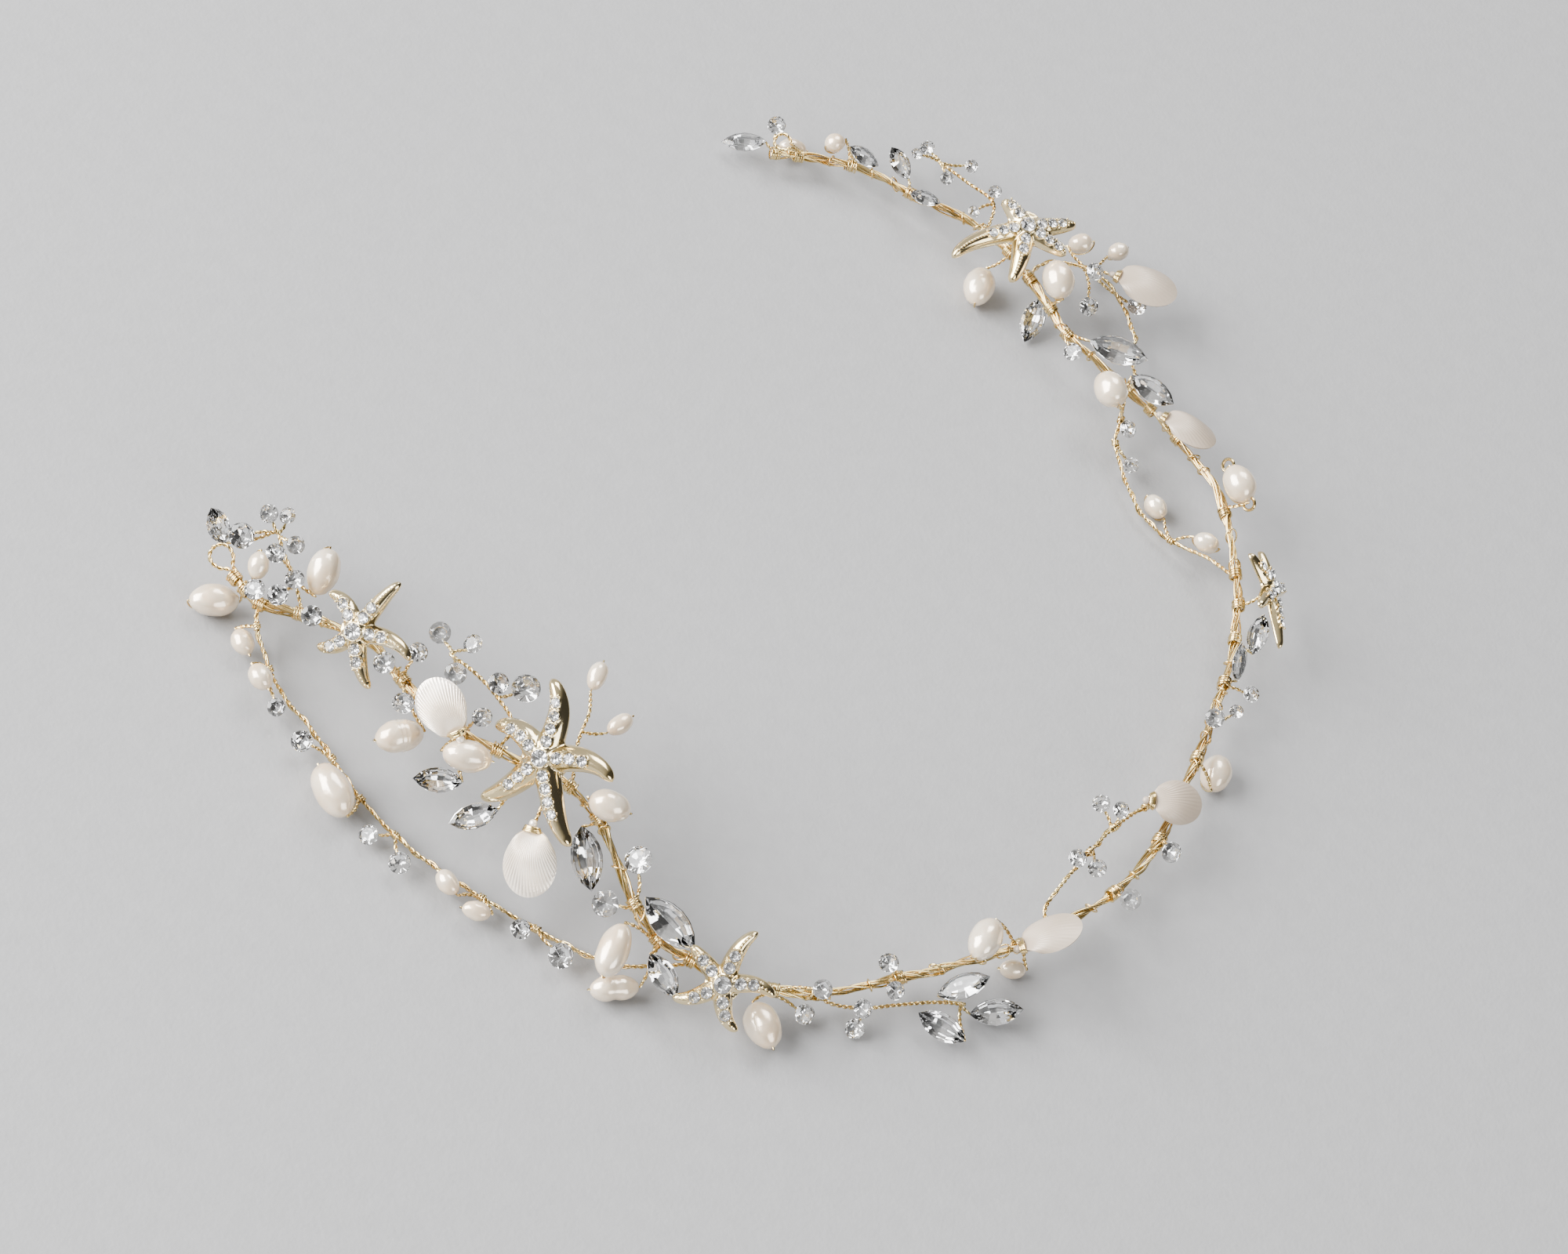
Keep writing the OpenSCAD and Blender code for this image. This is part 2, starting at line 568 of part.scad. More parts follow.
function region_of(p) = ROOTS[nearest_root(p)][2];
module crystals(region) {
    for (i = [0:len(CRYSTALS) - 1]) if (region_of(at(CRYSTALS[i])) == region) {
        r = crystal_r(CRYSTALS[i]);
        face(at(CRYSTALS[i]), crystal_face(i)) stone(crystal_outline(r), crown_share * r, round_depth * r);
    }
    for (row = NAVETTES) if (region_of(at(row)) == region) {
        size = navette_size(row);
        half = size[1] / 2;
        face(at(row), navette_face(row))
            stone(navette_outline(size[0], size[1]), crown_share * half, navette_depth * half);
    }
}
module small_pearls(region)
    for (row = SEEDS) if (region_of(pearl_place(row, seed_d)) == region) pearl(row, seed_l, seed_d);

// Fan of ribs from the hinge at the origin to the rim, domed upwards
module shell(row) {
    size = row[SCALE] / 100;
    l = shell_l * size;
    w = shell_w * size;
    columns = 2 * shell_ribs;
    rows = 2;
    dome = 0.2 * w;
    rib = 0.04 * w;
    function rim(a) = [l * (0.52 + 0.48 * cos(a)), w / 2 * sin(a)];
    function neck(a) = [0, neck_w / 2 * sin(a * 90 / 130)];
    function dome_point(i, j, lift) = let (
            a = -130 + 260 * j / columns,
            t = i / rows,
            q = neck(a) + t * (rim(a) - neck(a))
        ) [q.x, q.y, lift + dome * sin(180 * t) * cos(0.5 * a)
            + (j % 2 == 1 ? rib * t : 0)];
    n = columns + 1;
    points = concat(
        [for (i = [0:rows]) for (j = [0:columns]) dome_point(i, j, shell_t)],
        [for (i = [0:rows]) for (j = [0:columns]) dome_point(i, j, 0)]
    );
    under = n * (rows + 1);
    cells = [for (i = [0:rows - 1]) for (j = [0:columns - 1]) [i * n + j, i * n + j + 1,
        (i + 1) * n + j + 1, (i + 1) * n + j]];
    edge = concat(
        [for (j = [0:columns]) j],
        [for (i = [1:rows]) i * n + columns],
        [for (j = [columns - 1:-1:0]) rows * n + j],
        [for (i = [rows - 1:-1:1]) i * n]
    );
    m = len(edge);
    faces = concat(
        [for (c = cells) [c[0], c[1], c[2]]], [for (c = cells) [c[0], c[2], c[3]]],
        [for (c = cells) [under + c[0], under + c[2], under + c[1]]],
        [for (c = cells) [under + c[0], under + c[3], under + c[2]]],
        [for (k = [0:m - 1]) [edge[k], under + edge[k], under + edge[(k + 1) % m]]],
        [for (k = [0:m - 1]) [edge[k], under + edge[(k + 1) % m], edge[(k + 1) % m]]]
    );
    color(shell_cream) face(at(row), navette_face(row)) polyhedron(points, faces);
}

// Point on the middle line of an arm at share f of its reach
function arm_point(arm, f, reach) = let (a = arm[0] + arm[CURL] * (pow(f, 3) - 1))
    reach * f * arm[REACH] / 100 * [cos(a), sin(a)];

// Outline of one curved arm that narrows to a round tip
module arm_outline(arm, size, inset) {
    steps = 5;
    reach = star_r * size;
    function edge(f, side) = let (
            along = unit(arm_point(arm, f + 0.05, reach) - arm_point(arm, f - 0.05, reach))
        ) arm_point(arm, f, reach)
            + side * (arm_w / 2 * size * (1 - taper * f) - inset) * [-along.y, along.x];
    tip = arm_point(arm, 1, reach - inset);
    polygon(concat(
        [for (k = [0:steps - 1]) edge(k / steps, -1)],
        [edge(0.96, -0.8), tip, edge(0.96, 0.8)],
        [for (k = [steps - 1:-1:0]) edge(k / steps, 1)]
    ));
}

// Five arms joined at the middle: a plate with a narrower raised bed for the stones
module starfish(row) {
    size = star_unit(row);
    color(gold) face(at(row), [row[AZIMUTH], row[LEAN], 0]) union() {
        for (layer = [[edge_share * star_t, 0], [star_t, star_lip]])
            linear_extrude(layer[0] * size) {
                for (arm = row[ARMS]) arm_outline(arm, size, layer[1]);
                circle(middle_share * arm_w * size - layer[1], $fn = 10);
            }
    }
}

// Stones in a row along each arm and one at the middle
module starfish_stones(row) {
    size = star_unit(row);
    step = pave_d + 2 * stone_gap;
    module flat_stone(d, p, top) translate([p.x, p.y, top + 2 * stone_gap])
        cylinder(h = 0.45 * d, d = d, $fn = girdle_sides);
    color(crystal_white) face(at(row), [row[AZIMUTH], row[LEAN], 0]) {
        flat_stone(heart_d, [0, 0], star_t * size);
        for (arm = row[ARMS]) for (k = [0:arm[STONES] - 1]) {
            f = (heart_d / 2 + 2 * stone_gap + (k + 0.6) * step) / (star_r * size * arm[REACH] / 100);
            flat_stone(pave_d * (1 - 0.05 * k), arm_point(arm, f, star_r * size), star_t * size);
        }
    }
}

stem();
side_strand(0);  // drop_strand
side_strand(1);  // front_strand
side_strand(2);  // right_strand
side_strand(3);  // far_strand
pin_loop(PIN_LOOPS[0]);  // left_pin_loop
pin_loop(PIN_LOOPS[1]);  // far_pin_loop
for (k = [0:len(REGIONS) - 1]) {
    sprigs(k);
    crystals(k);
    small_pearls(k);
}
for (i = [1:len(PEARLS)])
    pearl(PEARLS[i - 1], pearl_l, pearl_d);
for (i = [1:len(SHELLS)])
    shell(SHELLS[i - 1]);
for (i = [1:len(STARFISH)]) {
    starfish(STARFISH[i - 1]);
    starfish_stones(STARFISH[i - 1]);
}
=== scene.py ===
import math
import random

import bpy
from mathutils import Matrix, Vector


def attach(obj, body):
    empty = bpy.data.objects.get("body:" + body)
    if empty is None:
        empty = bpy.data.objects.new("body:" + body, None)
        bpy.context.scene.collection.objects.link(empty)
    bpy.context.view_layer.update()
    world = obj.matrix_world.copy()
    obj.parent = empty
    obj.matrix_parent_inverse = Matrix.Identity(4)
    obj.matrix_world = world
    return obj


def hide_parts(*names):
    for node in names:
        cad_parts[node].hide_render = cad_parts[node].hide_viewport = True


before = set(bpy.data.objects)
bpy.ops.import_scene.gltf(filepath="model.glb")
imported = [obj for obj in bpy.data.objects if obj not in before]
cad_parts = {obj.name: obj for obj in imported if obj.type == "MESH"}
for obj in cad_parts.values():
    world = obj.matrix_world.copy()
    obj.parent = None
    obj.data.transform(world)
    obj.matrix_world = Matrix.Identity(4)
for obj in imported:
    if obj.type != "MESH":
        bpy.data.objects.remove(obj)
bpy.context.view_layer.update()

# Hair vine of twisted gold-plated wire with crystals, baroque pearls, scallop shells and starfish.
# Pieces are modelled in millimetres and brought to metres when they are finished.
MM = 0.001
chance = random.Random(7)

# Camera: 85 mm lens on a 36 mm wide sensor, 52 degrees above the table and rolled 33 degrees
CAMERA_LENS = 85
CAMERA_SENSOR = 36
CAMERA_CLIP_M = 0.01
CAMERA_ELEVATION = math.radians(52)
CAMERA_ROLL = math.radians(33)
CAMERA_DISTANCE = 556
CAMERA_AIM = Vector((3.4625, -13.6525, 0))
forward = Vector((0, math.cos(CAMERA_ELEVATION), -math.sin(CAMERA_ELEVATION)))
level_up = Vector((0, math.sin(CAMERA_ELEVATION), math.cos(CAMERA_ELEVATION)))
level_right = Vector((1, 0, 0))
right = math.cos(CAMERA_ROLL) * level_right + math.sin(CAMERA_ROLL) * level_up
up = -math.sin(CAMERA_ROLL) * level_right + math.cos(CAMERA_ROLL) * level_up
optics = bpy.data.cameras.new("camera")
optics.lens = CAMERA_LENS
optics.sensor_width = CAMERA_SENSOR
optics.clip_start = CAMERA_CLIP_M
camera = bpy.data.objects.new("camera", optics)
bpy.context.scene.collection.objects.link(camera)
stance = Matrix((right, up, -forward)).transposed().to_4x4()
camera.matrix_world = Matrix.Translation((CAMERA_AIM - CAMERA_DISTANCE * forward) * MM) @ stance
bpy.context.scene.camera = camera


# Materials

def linear(hex_colour):
    """Linear colour of an sRGB hex value."""
    parts = [int(hex_colour[i:i + 2], 16) / 255 for i in (1, 3, 5)]
    return [p / 12.92 if p <= 0.04045 else ((p + 0.055) / 1.055) ** 2.4 for p in parts] + [1]


def add(tree, kind, inputs=None, **settings):
    """Adds a node with its settings, and sets or links its inputs."""
    node = tree.nodes.new("ShaderNode" + kind)
    for name, value in settings.items():
        setattr(node, name, value)
    for name, value in (inputs or {}).items():
        if isinstance(value, bpy.types.NodeSocket):
            tree.links.new(value, node.inputs[name])
        else:
            node.inputs[name].default_value = value
    return node


# Most values of a noise lie between these two
NOISE_LOW, NOISE_HIGH = 0.3, 0.7
GRAIN_DETAIL = 3
RELIEF_DETAIL = 2


def material(name, shader, colours, grain_mm, rough, bump_mm=0, bump_grain_mm=1):
    """Principled material. One noise blends its colours and roughness, and another makes its relief."""
    made = bpy.data.materials.new(name)
    made.use_nodes = True
    tree = made.node_tree
    tree.nodes.clear()
    place = add(tree, "TexCoord").outputs["Object"]
    noise = add(tree, "TexNoise", {"Vector": place, "Scale": 1 / (grain_mm * MM), "Detail": GRAIN_DETAIL})
    principled = add(tree, "BsdfPrincipled", shader)
    if colours:
        ramp = add(tree, "ValToRGB", {"Fac": noise.outputs["Fac"]})
        for element, stop, colour in zip(ramp.color_ramp.elements, (NOISE_LOW, NOISE_HIGH), colours):
            element.position = stop
            element.color = linear(colour)
        tree.links.new(ramp.outputs["Color"], principled.inputs["Base Color"])
    spread = add(tree, "MapRange", {
        "Value": noise.outputs["Fac"], "From Min": NOISE_LOW, "From Max": NOISE_HIGH, "To Min": rough[0],
        "To Max": rough[1]}, clamp=True)
    tree.links.new(spread.outputs["Result"], principled.inputs["Roughness"])
    if bump_mm:
        relief = add(tree, "TexNoise", {
            "Vector": place, "Scale": 1 / (bump_grain_mm * MM), "Detail": RELIEF_DETAIL})
        bump = add(tree, "Bump", {"Height": relief.outputs["Fac"], "Distance": bump_mm * MM, "Strength": 1})
        tree.links.new(bump.outputs["Normal"], principled.inputs["Normal"])
    out = add(tree, "OutputMaterial")
    tree.links.new(principled.outputs["BSDF"], out.inputs["Surface"])
    return made


# Drawn brass wire with a pale gold plate: bright lines along each turn, a little duller where it was handled
gold_wire = material("drawn_wire_pale_gold_plate", {"Metallic": 1.0}, ["#ead59b", "#dabb7c"],
                     grain_mm=5, rough=(0.1, 0.18))
# Zinc alloy casting, tumbled and gold plated: a mirror with soft waves left by the mould
cast_gold = material("cast_alloy_polished_gold_plate", {"Metallic": 1.0}, ["#f1e0b6", "#e5cf99"],
                     grain_mm=6, rough=(0.11, 0.17), bump_mm=0.008, bump_grain_mm=2.5)
# Machine-cut lead-free crystal glass: clear, with sharp facets
cut_glass = material("machine_cut_crystal_glass", {
    "Base Color": linear("#ffffff"), "Transmission Weight": 1.0, "IOR": 1.54}, None, grain_mm=4,
    rough=(0.0, 0.01))
# Vacuum-silvered foil on the back of a stone: a bright mirror that sends the light out through the table
foil = material("silvered_foil_back", {"Metallic": 0.86}, ["#fbfbfb", "#eef0f2"], grain_mm=1,
                rough=(0.03, 0.08))
# Freshwater pearl nacre: a glossy skin and a soft lustre under it, over an ivory to peach body with dimples
nacre = material("freshwater_nacre", {
    "Subsurface Weight": 0.2, "Subsurface Radius": (0.001, 0.0008, 0.0006), "Coat Weight": 1.0,
    "Coat Roughness": 0.07, "Coat IOR": 1.7, "IOR": 1.65, "Metallic": 0.32}, ["#f3e5cf", "#e8cdab"],
    grain_mm=4, rough=(0.2, 0.27), bump_mm=0.14, bump_grain_mm=2.4)
# Shell under pearl lacquer: satin champagne that brightens along each rib
shell_lacquer = material("pearl_lacquered_shell", {
    "Metallic": 0.4, "Coat Weight": 0.7, "Coat Roughness": 0.16}, ["#fbf1e4", "#f1e1cc"], grain_mm=5,
    rough=(0.22, 0.28))
# Matte shell: a pinkish cream with only a faint sheen
shell_matte = material("matte_cream_shell", {"Metallic": 0.1, "Coat Weight": 0.3, "Coat Roughness": 0.3},
                       ["#b9aa99", "#ae9d8a"], grain_mm=5, rough=(0.38, 0.46))


# Places

# Millimetres that a row's thousand stands for, and the shift that centres the vine, in a row's units
SPAN = 175
SHIFT_X = 5.5
SHIFT_Y = 7.7
LEFT, MIDDLE, FRONT, RIGHT, FAR, DROP_REGION = range(6)
REGIONS = ["left", "middle", "front", "right", "far", "drop"]
FREE = -1
NONE = -1
ON_STEM = 0
SMOOTH, WAISTED, RINGED = range(3)
# Thickness of the stem, strands and stalks, and width inside the hairpin loops
STEM_D = 1.9
STRAND_D = 1.1
STALK_D = 0.7
PIN_LOOP_D = 3.4
FAR_LOOP_D = 2.6
# Columns of the tables below: strands, roots, shells and starfish, and the arms of a starfish
BENDS, THICKNESS, START, END, OWN_REGION = range(5)
ROUTE, BEND, REGION = range(3)
AZIMUTH, LEAN, TURN, SCALE = 3, 4, 5, 6
STAR_SIZE, ARMS = 5, 6
TIP_ANGLE, REACH, CURL, STONES = range(4)
# Routes of the wires: x, y and height of each bend, in thousandths of the span
STEM = [
    [-377, -375, 34], [-364, -379, 34], [-348, -383, 34], [-317, -374, 40], [-295, -371, 46],
    [-272, -370, 51], [-246, -373, 57], [-217, -389, 63], [-186, -401, 67],
    [-155, -404, 69], [-122, -402, 72], [-84, -399, 74], [-59, -395, 74],
    [-27, -402, 69], [3, -418, 57], [34, -436, 46], [65, -445, 34],
    [96, -441, 29], [126, -437, 26], [165, -418, 23], [198, -397, 23],
    [226, -368, 23], [247, -343, 23], [268, -318, 23], [294, -287, 23],
    [320, -252, 26], [337, -224, 28], [352, -194, 29], [368, -156, 29],
    [378, -121, 31], [381, -85, 34], [379, -40, 34], [377, 14, 34],
    [373, 60, 34], [367, 104, 34], [357, 150, 37], [345, 184, 40],
    [329, 214, 40], [312, 246, 40], [294, 270, 40], [272, 291, 40],
    [248, 307, 38], [222, 320, 36], [188, 334, 34], [160, 341, 34],
    [127, 348, 34], [87, 356, 34], [61, 373, 34], [30, 390, 34],
    [0, 405, 34], [-29, 414, 31], [-57, 414, 29], [-82, 409, 28],
    [-108, 407, 26], [-140, 407, 23], [-168, 400, 21], [-195, 387, 20],
    [-214, 374, 20], [-232, 361, 20]
]
DROP = [
    [-340, -399, 29], [-312, -417, 13], [-285, -433, 13], [-260, -440, 11],
    [-230, -453, 10], [-193, -470, 10], [-154, -481, 10], [-114, -486, 10],
    [-70, -486, 10], [-20, -483, 10], [20, -479, 11], [56, -468, 13]
]
FRONT_STRAND = [
    [324, -206, 29], [327, -174, 34], [333, -140, 40], [341, -105, 40], [357, -64, 36]
]
RIGHT_STRAND = [
    [170, 312, 25], [177, 287, 21], [204, 259, 15], [234, 239, 11],
    [266, 231, 12], [292, 227, 22], [308, 221, 31]
]
FAR_STRAND = [
    [29, 418, 24], [45, 437, 27], [70, 444, 32], [95, 441, 34],
    [121, 428, 29], [143, 404, 29], [154, 370, 32]
]
LEFT_TWIG = [[-337, -353, 47], [-357, -340, 52], [-370, -327, 54]]
MIDDLE_TWIG = [[-123, -381, 83], [-148, -369, 87], [-173, -361, 86], [-197, -356, 81]]
PEARL_TWIG = [[-70, -372, 84], [-76, -352, 88]]
FRONT_TWIG = [
    [215, -396, 21], [236, -383, 20], [256, -364, 19], [282, -340, 17], [306, -322, 14]
]
FAR_TWIG = [[-38, 440, 42], [-70, 449, 37], [-104, 458, 31]]
# Side strands and twigs: bends, thickness, stem bends where it starts and ends, region of a twig
STRANDS = [
    [DROP, STRAND_D, 2, 17, NONE],
    [FRONT_STRAND, STRAND_D, 26, 31, NONE],
    [RIGHT_STRAND, STRAND_D, 44, 37, NONE],
    [FAR_STRAND, STRAND_D, 48, 43, NONE],
    [LEFT_TWIG, STALK_D, 3, FREE, LEFT],
    [MIDDLE_TWIG, STALK_D, 10, FREE, MIDDLE],
    [FRONT_TWIG, STALK_D, 20, FREE, FRONT],
    [FAR_TWIG, STALK_D, 50, FREE, FAR],
    [PEARL_TWIG, STALK_D, 12, FREE, MIDDLE]
]
# Hairpin loops: middle, width inside, bend of the stem that they are bound to
PIN_LOOPS = [[[-394, -369, 40], PIN_LOOP_D, 0], [[-230, 362, 37], FAR_LOOP_D, 57]]
# Places that stalks grow from: route, bend of that route, region
ROOTS = [
    [ON_STEM, 1, LEFT], [5, 0, LEFT], [5, 2, LEFT],
    [ON_STEM, 5, LEFT], [ON_STEM, 7, LEFT],
    [ON_STEM, 9, MIDDLE], [ON_STEM, 11, MIDDLE], [ON_STEM, 13, MIDDLE], [9, 1, MIDDLE],
    [6, 1, MIDDLE], [6, 3, MIDDLE], [ON_STEM, 15, MIDDLE], [ON_STEM, 16, MIDDLE],
    [ON_STEM, 18, FRONT], [ON_STEM, 19, FRONT], [ON_STEM, 22, FRONT],
    [7, 1, FRONT], [7, 4, FRONT], [ON_STEM, 25, FRONT],
    [2, 2, RIGHT], [2, 3, RIGHT], [2, 4, RIGHT], [ON_STEM, 28, RIGHT], [ON_STEM, 30, RIGHT],
    [ON_STEM, 32, RIGHT], [ON_STEM, 33, RIGHT], [ON_STEM, 34, RIGHT], [ON_STEM, 35, RIGHT],
    [ON_STEM, 36, RIGHT], [ON_STEM, 39, RIGHT], [ON_STEM, 42, RIGHT],
    [3, 0, RIGHT], [3, 1, RIGHT], [3, 4, RIGHT],
    [ON_STEM, 46, FAR], [ON_STEM, 47, FAR], [4, 2, FAR], [ON_STEM, 49, FAR],
    [8, 0, FAR], [8, 2, FAR], [ON_STEM, 53, FAR], [ON_STEM, 55, FAR], [ON_STEM, 58, FAR],
    [1, 0, DROP_REGION], [1, 1, DROP_REGION], [1, 4, DROP_REGION], [1, 5, DROP_REGION],
    [1, 6, DROP_REGION], [1, 8, DROP_REGION], [1, 9, DROP_REGION]
]
# Shells: x, y, z of the hinge, way that the face leans, lean, turn, size in hundredths
SHELLS = [
    [-155, -420, 88, -96, 44, -112, 96], [-64, -444, 68, -103, 43, 38, 106],
    [322, -266, 46, -178, 42, -139, 104], [356, -70, 54, -58, 17, 92, 95],
    [202, 319, 49, 115, 13, -110, 104], [98, 448, 40, -174, 10, -174, 116]
]
# Starfish: x, y, z of the back, way that the face leans, lean, size in hundredths, arms.
# Arms: turn of the tip, reach in hundredths, curl in degrees, stones.
STARFISH = [
    [-267, -381, 74, -112, 51, 100,
        [[335, 77, -17, 2], [63, 96, 11, 2], [112, 106, -18, 2], [184, 112, -5, 2], [269, 82, 21, 2]]],
    [-86, -401, 99, -112, 51, 141,
        [[348, 94, -9, 3], [66, 106, 8, 4], [121, 87, -18, 3], [225, 91, 18, 4], [290, 73, 18, 3]]],
    [127, -454, 46, -90, 38, 100,
        [[316, 85, -14, 2], [51, 80, 19, 2], [108, 87, -18, 2], [178, 102, -13, 2], [252, 81, 1, 2]]],
    [1, 408, 66, -90, 15, 128,
        [[-32, 127, 10, 3], [15, 92, -6, 2], [91, 72, 0, 3], [132, 81, 0, 3], [250, 56, 8, 2]]],
    [358, 202, 57, 32, 42, 105,
        [[27, 106, 0, 2], [95, 78, 0, 1], [150, 80, 0, 2], [225, 92, 0, 2], [275, 116, 0, 3]]]
]


def at(row):
    """Place in millimetres of a row whose first three columns are thousandths of the span."""
    return SPAN / 1000 * Vector((row[0] + SHIFT_X, row[1] + SHIFT_Y, row[2]))


def facing(place, azimuth, lean, turn=0):
    """Matrix of a piece that stands at a place and is turned, leant and faced."""
    turned = [Matrix.Rotation(math.radians(angle), 4, axis)
              for angle, axis in ((azimuth, "Z"), (lean, "Y"), (turn, "Z"))]
    return Matrix.Translation(place) @ turned[0] @ turned[1] @ turned[2]


# The stem and then each row of STRANDS, and how deep a stalk's foot sits in the wires
ROUTES = [(STEM, STEM_D)] + [(row[BENDS], row[THICKNESS]) for row in STRANDS]
SEAT_DEPTH = 0.25


def run(path, i):
    """Way that a path runs at one of its points."""
    return (path[min(i + 1, len(path) - 1)] - path[max(i - 1, 0)]).normalized()


def route_bends(route):
    """Bends of a route in millimetres."""
    return [at(p) for p in ROUTES[route][BENDS]]


def seat(route, i, target):
    """Point on the outside of the wires at a bend, on the side that looks at a target."""
    path = route_bends(route)
    way = run(path, i)
    aim = target - path[i]
    out = (aim - aim.dot(way) * way).normalized()
    return path[i] + (ROUTES[route][THICKNESS] / 2 - SEAT_DEPTH) * out


def root_place(k):
    """Place of a root in millimetres."""
    root = ROOTS[k]
    return at(ROUTES[root[ROUTE]][BENDS][root[BEND]])


def nearest_root(place):
    """Number of the root that lies nearest to a place."""
    return min(range(len(ROOTS)), key=lambda k: (root_place(k) - place).length)


def loose_parts(node):
    """Corners of each solid of a CAD node in millimetres, with the corners that each one's edges lead to."""
    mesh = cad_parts[node].data
    keys = [tuple(round(c / MM, 3) for c in v.co) for v in mesh.vertices]
    links = {key: set() for key in keys}
    for face in mesh.polygons:
        corners = [keys[i] for i in face.vertices]
        for a in corners:
            links[a].update(b for b in corners if b != a)
    parts = []
    left_over = set(links)
    while left_over:
        queue = [left_over.pop()]
        part = []
        while queue:
            corner = queue.pop()
            part.append(corner)
            near = links[corner] & left_over
            left_over -= near
            queue.extend(near)
        parts.append({corner: links[corner] for corner in sorted(part)})
    return sorted(parts, key=lambda part: next(iter(part)))


# Wires

PATH_SAMPLES = 24
WIRE_SMOOTH = 60
# Lengths over which a wire drifts along its turn and in and out
SWAY_TURN = 5.3
SWAY_OUT = 3.7
# Bindings: points in a turn, its width in wire radii, and how far and how fast it strays
TURN_POINTS = 12
TURN_WIDTH = 2.15
STRAY_ALONG, STRAY_ALONG_PACE = 0.05, 0.7
STRAY_OUT, STRAY_OUT_PACE = 0.04, 0.37
# Radius of binding wire, and of the stem and of a strand under it
WIRE_R = 0.15
STEM_WRAP_R = 0.8
STRAND_WRAP_R = 0.34


def smooth_path(points, step):
    """Evenly spaced points on a smooth curve through the given ones."""
    ends = [2 * points[0] - points[1]] + list(points) + [2 * points[-1] - points[-2]]
    fine = []
    for i in range(1, len(ends) - 2):
        a, b, c, d = ends[i - 1:i + 3]
        for k in range(PATH_SAMPLES):
            t = k / PATH_SAMPLES
            fine.append(0.5 * (2 * b + (c - a) * t + (2 * a - 5 * b + 4 * c - d) * t * t
                               + (3 * b - a - 3 * c + d) * t ** 3))
    fine.append(points[-1].copy())
    lengths = [0]
    for a, b in zip(fine, fine[1:]):
        lengths.append(lengths[-1] + (b - a).length)
    count = max(2, round(lengths[-1] / step))
    even = []
    j = 0
    for k in range(count + 1):
        want = lengths[-1] * k / count
        while j < len(fine) - 2 and lengths[j + 1] < want:
            j += 1
        share = (want - lengths[j]) / max(1e-9, lengths[j + 1] - lengths[j])
        even.append(fine[j].lerp(fine[j + 1], share))
    return even


def side_ways(path):
    """Two directions square to a path at each of its points, which turn as little as they can."""
    way = run(path, 0)
    side = way.orthogonal().normalized()
    ways = []
    for i in range(len(path)):
        way = run(path, i)
        side = (side - side.dot(way) * way).normalized()
        ways.append((side, way.cross(side)))
    return ways


def twisted(points, radius, pitch, count, wire_r, step, taper=(1, 1), wobble=0, phase=None):
    """Wires that wind round one path. Taper draws them together over the first and last turn."""
    path = smooth_path(points, step)
    ways = side_ways(path)
    start = chance.uniform(0, 2 * math.pi) if phase is None else phase
    total = sum((b - a).length for a, b in zip(path, path[1:]))
    wires = []
    for k in range(count):
        sway = [chance.uniform(0, 2 * math.pi) for _ in range(2)]
        line = []
        gone = 0
        for i, p in enumerate(path):
            gone += (p - path[i - 1]).length if i else 0
            turn = start + 2 * math.pi * (k / count + gone / pitch)
            turn += wobble * math.sin(gone / SWAY_TURN + sway[0])
            pull = min(1, taper[0] + gone / pitch, taper[1] + (total - gone) / pitch)
            r = radius * pull * (1 + wobble * math.sin(gone / SWAY_OUT + sway[1]))
            line.append(p + r * (math.cos(turn) * ways[i][0] + math.sin(turn) * ways[i][1]))
        wires.append((line, wire_r, False))
    return wires


def wrap(path, i, radius, turns):
    """Turns of wire wound round a path at one of its points."""
    way = run(path, i)
    side = way.orthogonal().normalized()
    other = way.cross(side)
    length = turns * TURN_WIDTH * WIRE_R
    start = chance.uniform(0, 2 * math.pi)
    line = []
    for k in range(turns * TURN_POINTS + 1):
        angle = start + 2 * math.pi * k / TURN_POINTS
        along = length * (k / (turns * TURN_POINTS) - 0.5) + STRAY_ALONG * math.sin(angle * STRAY_ALONG_PACE)
        r = radius + WIRE_R + STRAY_OUT * math.sin(angle * STRAY_OUT_PACE + start)
        line.append(path[i] + along * way + r * (math.cos(angle) * side + math.sin(angle) * other))
    return (line, WIRE_R, False)


def wire_piece(name, node, wires, sides=2):
    """One piece of round wires, each a line of points, its radius and whether it closes on itself."""
    curve = bpy.data.curves.new(name, "CURVE")
    curve.dimensions = "3D"
    curve.bevel_depth = 1
    curve.bevel_resolution = sides
    curve.use_fill_caps = True
    for line, radius, closed in wires:
        spline = curve.splines.new("POLY")
        spline.points.add(len(line) - 1)
        for point, place in zip(spline.points, line):
            point.co = (*place, 1)
            point.radius = radius
        spline.use_cyclic_u = closed
    piece = bpy.data.objects.new(name, curve)
    bpy.context.scene.collection.objects.link(piece)
    only(piece)
    bpy.ops.object.convert(target="MESH")
    clean(piece)
    finish(piece, gold_wire, node, angle=WIRE_SMOOTH)


# Modelling helpers

MERGE_MM = 0.0005


def only(piece):
    """Selects one object and makes it active."""
    bpy.ops.object.select_all(action="DESELECT")
    piece.select_set(True)
    bpy.context.view_layer.objects.active = piece


def clean(piece):
    """Merges doubles and points the faces outwards."""
    only(piece)
    bpy.ops.object.mode_set(mode="EDIT")
    bpy.ops.mesh.select_all(action="SELECT")
    bpy.ops.mesh.remove_doubles(threshold=MERGE_MM)
    bpy.ops.mesh.normals_make_consistent(inside=False)
    bpy.ops.object.mode_set(mode="OBJECT")


def apply_modifier(piece, kind, **settings):
    """Gives a piece a modifier with its settings and applies it."""
    only(piece)
    modifier = piece.modifiers.new(kind.lower(), kind)
    for name, value in settings.items():
        setattr(modifier, name, value)
    bpy.ops.object.modifier_apply(modifier=modifier.name)


